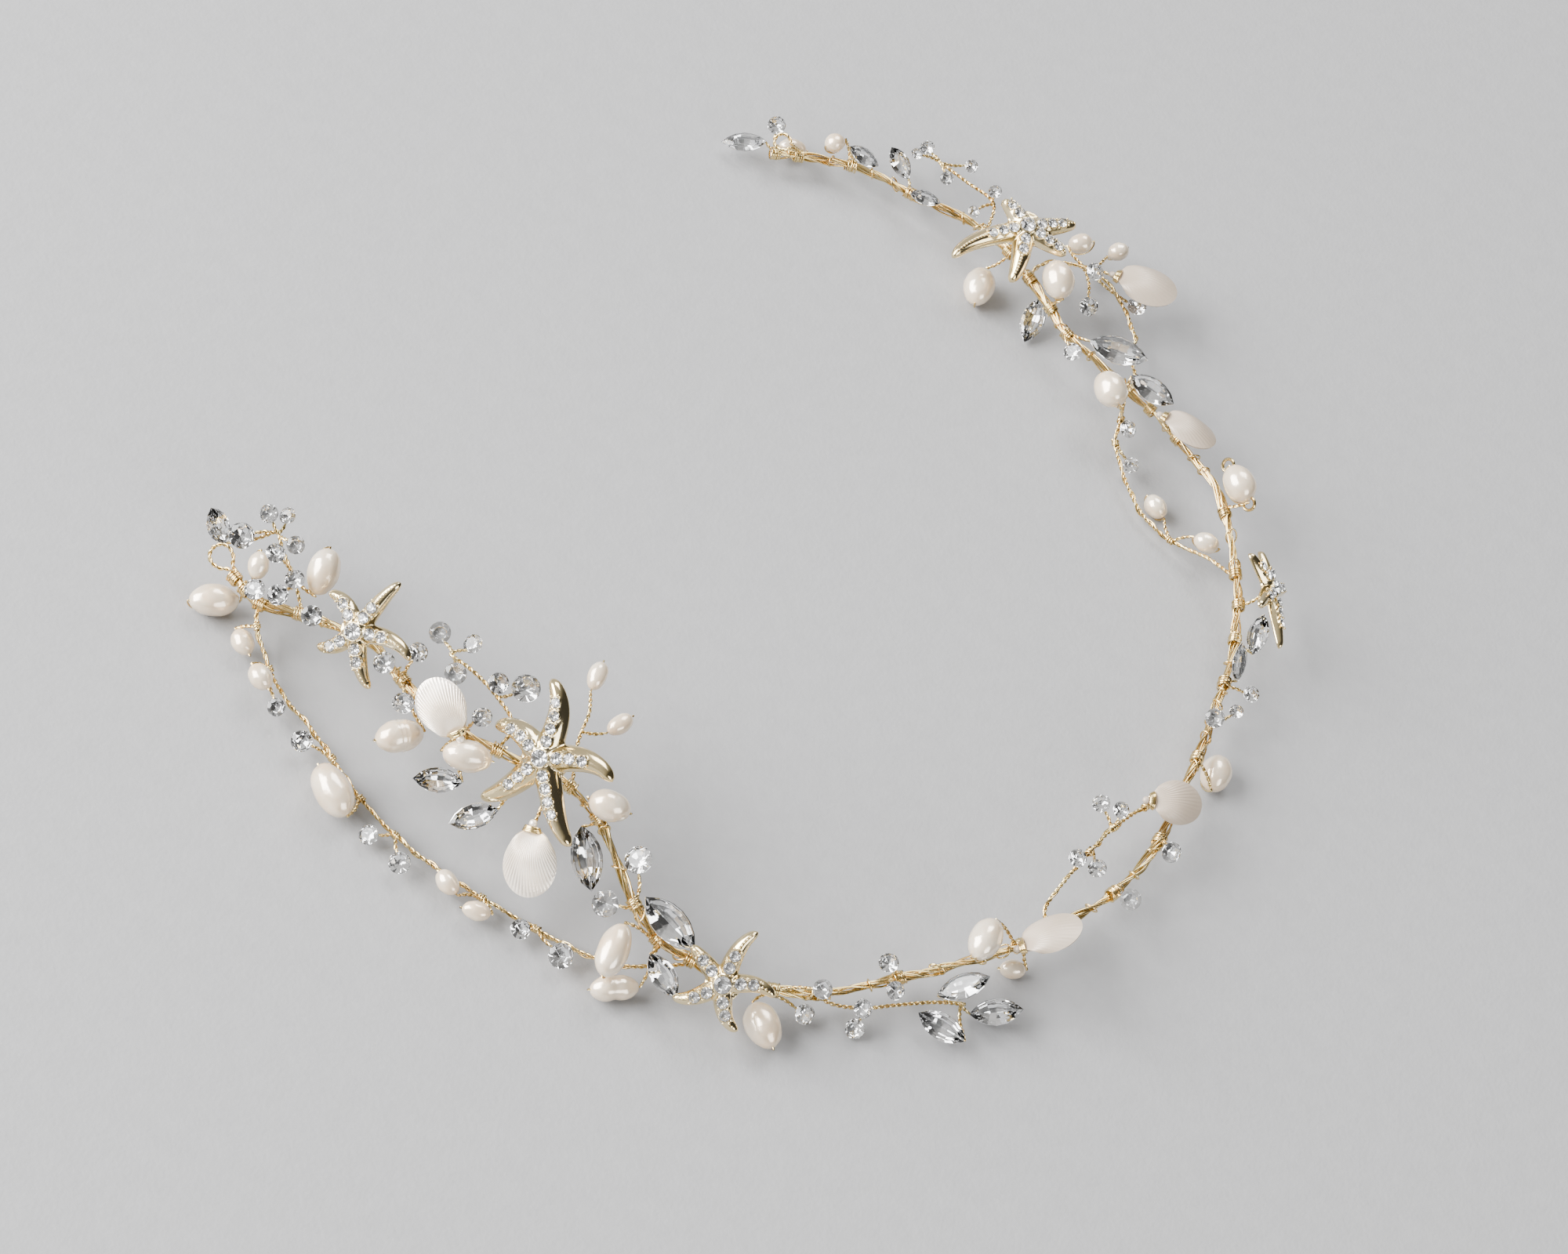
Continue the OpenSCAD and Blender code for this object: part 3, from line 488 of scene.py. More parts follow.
def primitive(operator, **settings):
    """Adds a primitive on its own, with its place and scale in its mesh."""
    bpy.ops.object.select_all(action="DESELECT")
    operator(**settings)
    bpy.ops.object.transform_apply()
    return bpy.context.object


def copy_of(piece, matrix):
    """Copy with its own mesh, moved by a matrix."""
    twin = bpy.data.objects.new(piece.name, piece.data.copy())
    twin.data.transform(matrix)
    bpy.context.scene.collection.objects.link(twin)
    return twin


def joined(name, pieces):
    """Joins pieces into the first one, under a new name."""
    only(pieces[0])
    for piece in pieces[1:]:
        piece.select_set(True)
    if len(pieces) > 1:
        bpy.ops.object.join()
    pieces[0].name = name
    pieces[0].data.name = name
    return pieces[0]


def formed_grid(columns, rows, form):
    """Flat grid pressed to a form: form(u, v) gives a place for u and v from 0 to 1."""
    piece = primitive(bpy.ops.mesh.primitive_grid_add, x_subdivisions=columns, y_subdivisions=rows, size=2)
    for v in piece.data.vertices:
        v.co = form((v.co.x + 1) / 2, (v.co.y + 1) / 2)
    return piece


def finish(piece, paint, node, angle=None):
    """Brings a piece to metres, paints it, shades it and says what it rides on and replaces."""
    if paint:
        piece.data.materials.clear()
        piece.data.materials.append(paint)
    piece.data.transform(Matrix.Scale(MM, 4))
    if angle is not None:
        only(piece)
        bpy.ops.object.shade_smooth_by_angle(angle=math.radians(angle))
    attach(piece, "root")
    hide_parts(node)


# Cut stones, ground facet by facet from a blank of unit half length

def grind(azimuth, tilt, reach, height):
    """Cuts away all that lies outside one facet, which passes at a reach and height from the middle."""
    a = math.radians(azimuth)
    t = math.radians(tilt)
    normal = Vector((math.sin(t) * math.cos(a), math.sin(t) * math.sin(a), math.cos(t)))
    bpy.ops.mesh.select_all(action="SELECT")
    bpy.ops.mesh.bisect(plane_co=normal * (math.sin(t) * reach + math.cos(t) * height), plane_no=normal,
                        use_fill=True, clear_outer=True)


CROWN_H = 0.32
# Foil cup: how much larger than the stone, its thickness, and its edge below the girdle of each cut
FOIL_GROWTH = 1.015
FOIL_T = 0.025
ROUND_FOIL_EDGE = -0.06
OVAL_FOIL_EDGE = -0.03
# Half sizes of the block that a navette is ground from
OVAL_BLANK = (1.1, 0.7, 0.6)
# Facets of a round stone: how many, first azimuth, tilt, reach and height they pass through
ROUND_CUTS = [
    (8, 0, 38, 0.985, 0.04), (8, 22.5, 21, 0.6, 0.32), (16, 11.25, 47, 0.99, 0.035),
    (8, 0, 142, 0.985, -0.03), (16, 11.25, 137, 0.99, -0.03)
]
NAVETTE_RATIO = 0.486
NAVETTE_SWEEP = (1 + NAVETTE_RATIO ** 2) / (2 * NAVETTE_RATIO)
# Facets of a pointed oval: angles from its short axis, tilt, height, and how far inside the outline
OVAL_CUTS = [
    ((8.5, 25.5, 42), 90, 0, 0), ((8.5, 25.5, 42), 42, 0.02, 0), ((0, 17, 34), 24, 0.15, 0.2),
    ((8.5, 25.5, 42), 143, -0.02, 0), ((0, 17, 34), 133, -0.03, 0)
]


def backed(stone, edge):
    """Puts a thin foil cup behind a ground stone, up to a height."""
    cup = copy_of(stone, Matrix.Scale(FOIL_GROWTH, 4))
    only(cup)
    bpy.ops.object.mode_set(mode="EDIT")
    bpy.ops.mesh.select_all(action="SELECT")
    bpy.ops.mesh.bisect(plane_co=(0, 0, edge), plane_no=(0, 0, 1), clear_outer=True)
    bpy.ops.object.mode_set(mode="OBJECT")
    apply_modifier(cup, "SOLIDIFY", thickness=FOIL_T, offset=1)
    stone.data.materials.append(cut_glass)
    cup.data.materials.append(foil)
    return joined(stone.name, [stone, cup])


def round_stone():
    """Round brilliant of unit radius."""
    stone = primitive(bpy.ops.mesh.primitive_cylinder_add, vertices=32, radius=1, depth=2,
                      location=(0, 0, CROWN_H - 1))
    bpy.ops.object.mode_set(mode="EDIT")
    for count, first, tilt, reach, height in ROUND_CUTS:
        for k in range(count):
            grind(first + 360 / count * k, tilt, reach, height)
    bpy.ops.object.mode_set(mode="OBJECT")
    clean(stone)
    return backed(stone, ROUND_FOIL_EDGE)


def oval_stone():
    """Navette of unit half length."""
    stone = primitive(bpy.ops.mesh.primitive_cube_add, size=2, scale=OVAL_BLANK)
    bpy.ops.object.mode_set(mode="EDIT")
    grind(0, 0, 0, CROWN_H * NAVETTE_RATIO)
    for angles, tilt, height, inside in OVAL_CUTS:
        for angle in angles:
            a = math.radians(angle)
            reach = NAVETTE_SWEEP - (NAVETTE_SWEEP - NAVETTE_RATIO) * math.cos(a) - inside
            for side in (90, 270):
                for lean in {angle, -angle}:
                    grind(side + lean, tilt, reach, height)
    bpy.ops.object.mode_set(mode="OBJECT")
    clean(stone)
    return backed(stone, OVAL_FOIL_EDGE)


def stone_places(node):
    """Matrix, half length and half width of each cut stone of a CAD node."""
    found = []
    for part in loose_parts(node):
        culet = max(part, key=lambda corner: len(part[corner]))
        girdle = [Vector(corner) for corner in sorted(part[culet])]
        middle = sum(girdle, Vector()) / len(girdle)
        normal = (middle - Vector(culet)).normalized()
        tip = max(girdle, key=lambda p: (p - middle).length)
        long_way = (tip - middle).normalized()
        side = normal.cross(long_way)
        half = (tip - middle).length
        width = max(abs((p - middle).dot(side)) for p in girdle)
        turn = Matrix((long_way, side, normal)).transposed().to_4x4()
        found.append((Matrix.Translation(middle) @ turn, half, width))
    return found


ROUND = round_stone()
OVAL = oval_stone()
# A stone this much longer than wide is a navette
POINTED_RATIO = 1.3
# Wire loop behind a round stone: wire radius, reach and drop in half widths, points
LOOP_R = 0.13
LOOP_SHARE = 0.72
LOOP_DROP = 0.42
LOOP_POINTS = 32
# How far inside a navette's point, and below its girdle, its stalk ends
POINT_INSET = 0.05
POINT_DROP = 0.1
# What grows from each root: where a stalk ends, which way it looks, and the wire beyond it
tips = {k: [] for k in range(len(ROOTS))}


def stone_loop(matrix, half):
    """Wire that goes round the back of a round stone."""
    line = []
    for k in range(LOOP_POINTS):
        a = 2 * math.pi * k / LOOP_POINTS
        spot = Vector((LOOP_SHARE * math.cos(a), LOOP_SHARE * math.sin(a), -LOOP_DROP))
        line.append(matrix @ (half * spot))
    return line


for name in REGIONS:
    stones = []
    for matrix, half, width in stone_places(name + "_crystals"):
        pointed = half > POINTED_RATIO * width
        stones.append(copy_of(OVAL if pointed else ROUND, matrix @ Matrix.Scale(half, 4)))
        if pointed:
            seats = [matrix @ Vector((side * (half - POINT_INSET), 0, -POINT_DROP)) for side in (-1, 1)]
        else:
            seats = stone_loop(matrix, half)
        root = nearest_root(matrix.translation)
        end = min(seats, key=lambda p: (p - root_place(root)).length)
        tip = {"end": end, "way": matrix.translation}
        if not pointed:
            tip["loop"] = seats
        tips[root].append(tip)
    piece = joined(name + "_cut_crystals", stones)
    finish(piece, None, name + "_crystals")


# Baroque pearls

# Most that one end is fuller than the other
PLUMP = 0.06
# Depth, place along the half length and width of each groove; the waist is one broad groove
WAIST_DEPTH = 0.16
WAIST_SHARPNESS = 18
GROOVES = ((0.05, 0.1), (0.04, -0.06))
GROOVE_W = 0.035
RINGS = {SMOOTH: 24, WAISTED: 24, RINGED: 48}
# Wire that leaves a pearl's hole and lies along its underside: gaps at the end and the side, pull
# downwards, where it starts and leaves the hole, and steps
END_GAP = 0.25
SIDE_GAP = 0.16
DOWNWARDS = 1.4
STUB_IN = 0.5
STUB_OUT = 0.1
ARC_STEPS = 14
ARC_WIRE_R = 0.14
FLOOR_GAP = 0.2
STALK_GAP = 0.3
# Wire eyes of one pearl: radius to the wire's middle, wire radius, reach past the pearl, drop, points
EYE_R = 1.05
EYE_WIRE_R = 0.28
EYE_REACH = 0.4
EYE_DROP = 0.3
EYE_POINTS = 18
DIMPLE_MM = 2.6
DIMPLE_DEPTH = 0.3
dimples = bpy.data.textures.new("dimples", "CLOUDS")
dimples.noise_scale = DIMPLE_MM


def pearl_places(node):
    """Middle, axis, half length and radius of each pearl of a CAD node."""
    found = []
    for part in loose_parts(node):
        corners = [Vector(corner) for corner in part]
        low = [min(c[i] for c in corners) for i in range(3)]
        high = [max(c[i] for c in corners) for i in range(3)]
        middle = (Vector(low) + Vector(high)) / 2
        axis = max(corners, key=lambda c: (c - middle).length) - middle
        for _ in range(40):
            axis = sum(((c - middle).dot(axis) * (c - middle) for c in corners), Vector()).normalized()
        half = max(abs((c - middle).dot(axis)) for c in corners)
        radius = max((c - middle - (c - middle).dot(axis) * axis).length for c in corners)
        found.append((middle, axis, half, radius))
    return found


def pearl_body(middle, axis, half, radius, form):
    """Pearl with a slightly lopsided outline, and a waist or grooves where it has them."""
    body = primitive(bpy.ops.mesh.primitive_uv_sphere_add, segments=36, ring_count=RINGS[form], radius=1)
    plump = chance.uniform(-PLUMP, PLUMP)
    for v in body.data.vertices:
        f = v.co.z
        r = 1 + plump * f
        if form == WAISTED:
            r *= 1 - WAIST_DEPTH * math.exp(-WAIST_SHARPNESS * f * f)
        if form == RINGED:
            r *= 1 - sum(depth * math.exp(-((f - spot) / GROOVE_W) ** 2) for depth, spot in GROOVES)
        v.co = Vector((v.co.x * r * radius, v.co.y * r * radius, f * half))
    turn = axis.to_track_quat("Z", "Y").to_matrix().to_4x4()
    body.data.transform(Matrix.Translation(middle) @ turn)
    return body


def pearl_piece(name, node, form=SMOOTH, eyes=False):
    """Pearls of a CAD node, each with the wire that lies along it, and wire eyes where it has them."""
    bodies = []
    for middle, axis, half, radius in pearl_places(node):
        bodies.append(pearl_body(middle, axis, half, radius, form))
        root = nearest_root(middle)
        near, far = sorted((middle + half * axis, middle - half * axis),
                           key=lambda p: (p - root_place(root)).length)
        side = root_place(root) - middle
        side.z = 0
        side = side.normalized() - Vector((0, 0, DOWNWARDS))
        side = (side - side.dot(axis) * axis).normalized()
        out = (far - middle).normalized()
        line = []
        for k in range(ARC_STEPS + 1):
            a = math.pi * k / ARC_STEPS
            p = middle + (half + END_GAP) * math.cos(a) * out + (radius + SIDE_GAP) * math.sin(a) * side
            line.append(Vector((p.x, p.y, max(p.z, FLOOR_GAP))))
        stub = [middle + (half - STUB_IN) * out, middle + (half + STUB_OUT) * out]
        if eyes:
            for way in (-1, 1):
                eye = middle + way * (half + EYE_REACH * EYE_R) * axis - Vector((0, 0, EYE_DROP))
                ring = []
                for k in range(EYE_POINTS):
                    a = 2 * math.pi * k / EYE_POINTS
                    ring.append(eye + EYE_R * (math.cos(a) * axis + math.sin(a) * side))
                tips[root].append({"end": eye - way * EYE_R * axis, "way": middle, "eye": ring})
        tips[root].append({"end": near + STALK_GAP * (near - middle).normalized(), "arc": stub + line,
                           "way": middle})
    piece = joined(name, bodies)
    apply_modifier(piece, "DISPLACE", texture=dimples, strength=DIMPLE_DEPTH, mid_level=0.5,
                   texture_coords="LOCAL")
    finish(piece, nacre, node, angle=80)


FORMS = {4: RINGED, 8: WAISTED}
EYED_PEARL = 15
for i in range(1, 16):
    pearl_piece("baroque_pearl_%d" % i, "pearl_%d" % i, FORMS.get(i, SMOOTH), i == EYED_PEARL)
for name in REGIONS:
    pearl_piece(name + "_seed_pearls", name + "_small_pearls")


# Scallop shells

# Shell of size 100: length, width, wall and width of the neck
SHELL_L = 8.8
SHELL_W = 7.2
SHELL_T = 0.5
NECK_W = 0.2 * SHELL_W
# Degrees that the fan opens to each side, and how far round the rim reaches back
FAN = 130
RIM_BACK = 0.48
# Shares of the width: how far the sides bulge out and the middle domes up
BULGE = 0.055
DOME = 0.2
SHELL_BASE = 0.2
# Growth lines near the rim: how many fit the length, and their height as a share of a rib's
GROWTH_LINES = 22
GROWTH_H = 0.3
# Ribs rise over the first third of the length, and sink again by this share at the rim
RIB_RISE = 3
RIM_FADE = 0.8
RIB_COLUMNS = 6
SHELL_ROWS = 56
# Knob at the hinge: its middle and half sizes
KNOB_PLACE = (-0.85, 0, 0.35)
KNOB_SIZE = (0.62, 0.6, 0.5, 1)
# Wire wound round the hinge: turns, start, and how each turn runs on, leans and grows
COIL_TURNS = 4
COIL_START = -0.42
COIL_STEP = 0.2
COIL_LEAN = 0.22
COIL_GAP = 0.3
COIL_GROWTH = 0.1
COIL_Z = 0.4
COIL_H = 0.55
COIL_H_GROWTH = 0.05
# Ribs, their height and the paint: the first two shells are lacquered and the others matte
LACQUERED = (30, 0.14, shell_lacquer)
MATTE = (22, 0.04, shell_matte)


def shell_piece(i, row, ribs, rib_h, paint):
    """Fan of ribs from the hinge to the rim, domed upwards."""
    size = row[SCALE] / 100
    length = SHELL_L * size
    width = SHELL_W * size

    def form(u, v):
        a = FAN * (2 * u - 1)
        b = math.radians(a)
        rim = Vector((length * (1 - RIM_BACK + RIM_BACK * math.cos(b)), width / 2 * math.sin(b), 0))
        neck = Vector((0, NECK_W / 2 * math.sin(b * 90 / FAN), 0))
        edge = abs(a) / FAN
        q = neck + v * (rim - neck)
        q.y += math.copysign(BULGE * width * edge ** 3 * math.sin(math.pi * v), a)
        dome = DOME * width * math.sin(math.pi * v ** 0.85) * math.cos(0.5 * b)
        inside = 1 - edge ** 8
        rib = rib_h * abs(math.sin(math.pi * u * ribs)) * min(1, RIB_RISE * v) * inside
        rib *= 1 - RIM_FADE * v ** 14
        ripple = GROWTH_H * rib_h * math.sin(2 * math.pi * GROWTH_LINES * v) * v ** 3 * inside
        return Vector((q.x, q.y, SHELL_BASE + dome + rib + ripple))

    body = formed_grid(ribs * RIB_COLUMNS, SHELL_ROWS, form)
    clean(body)
    if sum(face.normal.z for face in body.data.polygons) < 0:
        bpy.ops.object.mode_set(mode="EDIT")
        bpy.ops.mesh.select_all(action="SELECT")
        bpy.ops.mesh.flip_normals()
        bpy.ops.object.mode_set(mode="OBJECT")
    apply_modifier(body, "SOLIDIFY", thickness=SHELL_T, offset=-1)
    knob = primitive(bpy.ops.mesh.primitive_uv_sphere_add, segments=24, ring_count=14, radius=1)
    knob.data.transform(Matrix.Translation(KNOB_PLACE) @ Matrix.Diagonal(KNOB_SIZE))
    body = joined("scallop_shell_%d" % i, [body, knob])
    matrix = facing(at(row), row[AZIMUTH], row[LEAN], row[TURN])
    body.data.transform(matrix)
    finish(body, paint, "shell_%d" % i, angle=50)
    coil = []
    for k in range(COIL_TURNS * TURN_POINTS + 1):
        gone = k / TURN_POINTS
        a = 2 * math.pi * gone
        across = (NECK_W / 2 + COIL_GAP + COIL_GROWTH * gone) * math.cos(a)
        up = COIL_Z + (COIL_H + COIL_H_GROWTH * gone) * math.sin(a)
        coil.append(matrix @ Vector((COIL_START + COIL_STEP * gone + COIL_LEAN * math.cos(a), across, up)))
    root = nearest_root(at(row))
    tips[root].append({"end": matrix @ Vector((-0.5, 0, 0)), "coil": coil, "way": at(row)})


for i, row in enumerate(SHELLS, 1):
    shell_piece(i, row, *(LACQUERED if i <= 2 else MATTE))


# Starfish

# Starfish of size 100: reach, arm width, thickness, and cells that melt its parts together
STAR_R = 8.5
ARM_W = 2.6
STAR_T = 1.5
VOXEL = 0.1
# Half width of an arm in halves of ARM_W: at the middle, and its change with f and its cube
ARM_TAPER = (1.14, -0.25, -0.5)
# Height of the crest at no width, its rise with the half width, and how full and soft it is
CREST_BASE = 0.35
CREST_RISE = 0.96
CREST_FULL = 1.8
CREST_SOFT = 0.62
# Thickness of the edge and how late the underside rises to it, and the shares where an arm closes
FLANGE = 0.2
EDGE_LATE = 8
ARM_ROOT = 0.02
BLUNT_FROM = 0.9
BLUNT = 0.1
ARM_COLUMNS = 48
ARM_ROWS = 32
# How far along an arm two points lie that give its way
NUDGE = 0.03
# Stones along the arms: size, gap, most that they tilt and turn, and how much each is smaller
PAVE_D = 1.66
PAVE_GAP = 0.14
PAVE_TILT = 0.1
PAVE_TURN = 0.7
PAVE_SHRINK = 0.05
# Stone at the middle, the gap beyond it, and the share of a step before the first stone of an arm
HEART_D = 2.4
HEART_GAP = 0.2
FIRST_STEP = 0.6
# Small beads that flank the stones, and a row that shrinks along the arm ends of some starfish
GRAIN_R = 0.2
GRAIN_OUT = 0.38
GRAIN_SINK = 0.05
BEADED = (1, 3, 4)
BEAD_R = 0.34
BEAD_TAPER = (1.15, 0.6)
BEAD_SINK = 0.08
BEAD_STEP = 0.52
BEAD_START = 1.2
BEAD_END = 0.95
# Discs at the middle, in the size of the starfish: radius in arm widths, height in millimetres
WEB = (0.98, 0.5)
HUB = (0.68, 0.75 * STAR_T)
# Seats: metal beyond a stone's edge, height of the stone above crest and seat, and the cone under it
HEART_RIM = 0.16
HEART_RISE = 0.12
HEART_SINK = 0.08
PAVE_RISE = 0.06
SEAT_RIM = 0.13
SEAT_BASE = 0.3
SEAT_SINK = 0.03
PIT_GAP = 0.05
PIT_DROP = 0.07
PIT_SLOPE = 0.95


def arm_place(arm, f, reach):
    """Point on the middle line of an arm at share f of its reach."""
    a = math.radians(arm[TIP_ANGLE] + arm[CURL] * (f ** 3 - 1))
    return reach * f * arm[REACH] / 100 * Vector((math.cos(a), math.sin(a), 0))


def arm_way(arm, f, reach):
    """Way that the middle line of an arm runs at share f of its reach."""
    return (arm_place(arm, f + NUDGE, reach) - arm_place(arm, f - NUDGE, reach)).normalized()


def arm_half(f, size):
    """Half width of an arm at share f of its reach."""
    return ARM_W / 2 * size * (ARM_TAPER[0] + ARM_TAPER[1] * f + ARM_TAPER[2] * f ** 3)


def arm_top(f, size):
    """Height of the crest of an arm, which falls as the arm narrows."""
    return (CREST_BASE + CREST_RISE * arm_half(f, 1)) * size


def arm_body(arm, size):
    """One arm: a thin edge that rises to full round flanks and a soft crest, with a blunt tip."""
    reach = STAR_R * size

    def form(u, v):
        close = math.sqrt(max(0, 1 - max(0, (u - BLUNT_FROM) / BLUNT) ** 2)) * min(1, u / ARM_ROOT)
        along = arm_way(arm, u, reach)
        side = Vector((-along.y, along.x, 0))
        half = arm_half(u, size) * close
        across = math.cos(2 * math.pi * v)
        top = v < 0.5
        flange = FLANGE * size
        ridge = (arm_top(u, size) - flange) * (1 - abs(across) ** CREST_FULL) ** CREST_SOFT * close
        z = flange + ridge if top else flange * abs(across) ** EDGE_LATE
        return arm_place(arm, u, reach) + across * half * side + Vector((0, 0, z))

    body = formed_grid(ARM_COLUMNS, ARM_ROWS, form)
    clean(body)
    return body


def pressed(radius, low, high):
    """Round disc between two heights."""
    return primitive(bpy.ops.mesh.primitive_cylinder_add, vertices=16, radius=radius, depth=high - low,
                     location=(0, 0, (high + low) / 2))


def countersink(body, stones):
    """Sinks the metal under each stone to a cone that its point hangs free in."""
    for v in body.data.vertices:
        for place, radius in stones:
            reach = radius + PIT_GAP
            off = math.hypot(v.co.x - place.x, v.co.y - place.y)
            if off < reach:
                v.co.z = min(v.co.z, place.z - PIT_DROP - PIT_SLOPE * (reach - off))


def starfish_piece(i, row):
    """Cast body and stones of one starfish."""
    size = row[STAR_SIZE] / 100
    reach = STAR_R * size
    matrix = facing(at(row), row[AZIMUTH], row[LEAN])
    parts = [arm_body(arm, size) for arm in row[ARMS]]
    for radius, height in (WEB, HUB):
        parts.append(pressed(radius * ARM_W * size, 0, height * size))
    heart_z = arm_top(0, size) + HEART_RISE
    parts.append(pressed(HEART_D / 2 + HEART_RIM, 0, heart_z - HEART_SINK))
    stones = [copy_of(ROUND, Matrix.Translation((0, 0, heart_z)) @ Matrix.Scale(HEART_D / 2, 4))]
    pits = [(Vector((0, 0, heart_z)), HEART_D / 2)]
    beads = []
    stone_step = PAVE_D + PAVE_GAP
    for arm in row[ARMS]:
        arm_reach = reach * arm[REACH] / 100
        for k in range(arm[STONES]):
            f = (HEART_D / 2 + HEART_GAP + (k + FIRST_STEP) * stone_step) / arm_reach
            p = arm_place(arm, f, reach)
            top = arm_top(f, size) + PAVE_RISE
            tilts = [Matrix.Rotation(chance.uniform(-PAVE_TILT, PAVE_TILT), 4, axis) for axis in "XY"]
            turn = tilts[0] @ tilts[1] @ Matrix.Rotation(chance.uniform(0, PAVE_TURN), 4, "Z")
            d = PAVE_D * (1 - PAVE_SHRINK * k)
            stones.append(copy_of(ROUND, Matrix.Translation((p.x, p.y, top)) @ turn
                                  @ Matrix.Scale(d / 2, 4)))
            pits.append((Vector((p.x, p.y, top)), d / 2))
            seat_cup = pressed(d / 2 + SEAT_RIM, SEAT_BASE * size, top - SEAT_SINK)
            seat_cup.data.transform(Matrix.Translation((p.x, p.y, 0)))
            parts.append(seat_cup)
            along = (arm_place(arm, f + NUDGE, reach) - p).normalized()
            side = Vector((-along.y, along.x, 0))
            for flank in (-1, 1):
                q = p + flank * GRAIN_OUT * d * side + 0.5 * stone_step * along
                beads.append((Vector((q.x, q.y, top - GRAIN_SINK)), GRAIN_R))
        if i in BEADED:
            f += BEAD_START / arm_reach
            while f < BEAD_END:
                p = arm_place(arm, f, reach)
                radius = BEAD_R * (BEAD_TAPER[0] - BEAD_TAPER[1] * f)
                beads.append((Vector((p.x, p.y, arm_top(f, size) - BEAD_SINK)), radius))
                f += BEAD_STEP / arm_reach
    body = joined("starfish_cast_%d" % i, parts)
    apply_modifier(body, "REMESH", mode="VOXEL", voxel_size=VOXEL * size ** 0.5)
    apply_modifier(body, "SMOOTH", factor=0.5, iterations=4)
    countersink(body, pits)
    balls = [primitive(bpy.ops.mesh.primitive_uv_sphere_add, segments=8, ring_count=6, radius=radius,
                       location=place) for place, radius in beads]
    body = joined(body.name, [body] + balls)
    body.data.transform(matrix)
    finish(body, cast_gold, "starfish_%d" % i, angle=70)
    pave = joined("starfish_pave_%d" % i, stones)
    pave.data.transform(matrix)
    finish(pave, None, "starfish_%d_stones" % i)
    root = nearest_root(at(row))
    tips[root].append({"end": at(row), "way": at(row)})


for i, row in enumerate(STARFISH, 1):
    starfish_piece(i, row)


# Stem, strands and sprigs

# Turns of a binding on the stem and on a strand
STEM_TURNS = 5
STRAND_TURNS = 3
# Two wires twisted together: how far each lies from the middle, length of a turn, wire radius
PAIR = {"radius": 0.17, "pitch": 1.9, "count": 2, "wire_r": 0.16}
STALK = {"radius": 0.155, "pitch": 1.8, "count": 2, "wire_r": WIRE_R}
stem_path = route_bends(ON_STEM)


def bundle(points, count, spread, pitch, wire_r, step):
    """Loose bundle: each wire winds at its own pace and drifts in and out."""
    wires = []
    for k in range(count):
        own = pitch * chance.uniform(0.8, 1.25)
        phase = 2 * math.pi * k / count + chance.uniform(-0.4, 0.4)
        radius = spread * chance.uniform(0.62, 1)
        wires += twisted(points, radius, own, 1, wire_r, step=step, wobble=0.3, phase=phase)
    return wires


LOOSE_POINTS = 15


def loose_turn(path, i, radius, wire_r):
    """One slanting turn of wire round a bundle."""
    way = run(path, i)
    side = way.orthogonal().normalized()
    other = way.cross(side)
    slant = chance.uniform(0.3, 0.9)
    turn = chance.uniform(0, 2 * math.pi)
    line = []
    for k in range(LOOSE_POINTS + 1):
        angle = 2 * math.pi * k / LOOSE_POINTS
        line.append(path[i] + slant * math.sin(angle + turn) * way
                    + (radius + wire_r) * (math.cos(angle) * side + math.sin(angle) * other))
    return (line, wire_r, False)


# The stem: seven wires that drift round a core of two, with a slanting turn every few millimetres
stem_wires = bundle(stem_path, count=7, spread=0.66, pitch=15, wire_r=0.16, step=0.5)
stem_wires += twisted(stem_path, radius=0.2, pitch=9, count=2, wire_r=0.17, step=0.6, wobble=0.2)
fine_path = smooth_path(stem_path, 1.4)
for i in range(3, len(fine_path) - 3, 4):
    stem_wires.append(loose_turn(fine_path, i + chance.choice((-1, 0, 1)), radius=0.74, wire_r=0.14))
wire_piece("stem_wires", "stem", stem_wires)


def strand_wires(row):
    """Twisted pair of a strand or twig, with a loose wire round a strand, and its bindings on the stem."""
    points = [at(p) for p in row[BENDS]]
    path = [seat(ON_STEM, row[START], points[0])] + points
    if row[END] != FREE:
        path.append(seat(ON_STEM, row[END], points[-1]))
    wires = []
    if row[OWN_REGION] == NONE:
        wires += twisted(path, **PAIR, step=0.2, taper=(0.5, 0.5), wobble=0.06)
        wires += twisted(path, radius=0.34, pitch=5.5, count=1, wire_r=0.14, step=0.3, taper=(0.3, 0.3),
                         wobble=0.3)
    else:
        wires += twisted(path, **PAIR, step=0.19, taper=(0.5, 0.3), wobble=0.05)
    for k in (row[START], row[END]):
        if k != FREE:
            wires.append(wrap(stem_path, k, STEM_WRAP_R, STEM_TURNS))
    return wires


for row, node in zip(STRANDS, ("drop_strand", "front_strand", "right_strand", "far_strand")):
    wire_piece(node + "_wires", node, strand_wires(row))


# Stalks of one root stand this far apart, and together take at most this width
STALK_STEP = 0.8
FAN_W = 1.6
# A stalk bows by this share of its length, and by this much at most
BOW_SHARE = 0.07
BOW_MOST = 0.5
# Wires at a stalk's end: radius, and whether they close on themselves
TIP_WIRES = (("loop", LOOP_R, True), ("arc", ARC_WIRE_R, False), ("coil", WIRE_R, False))


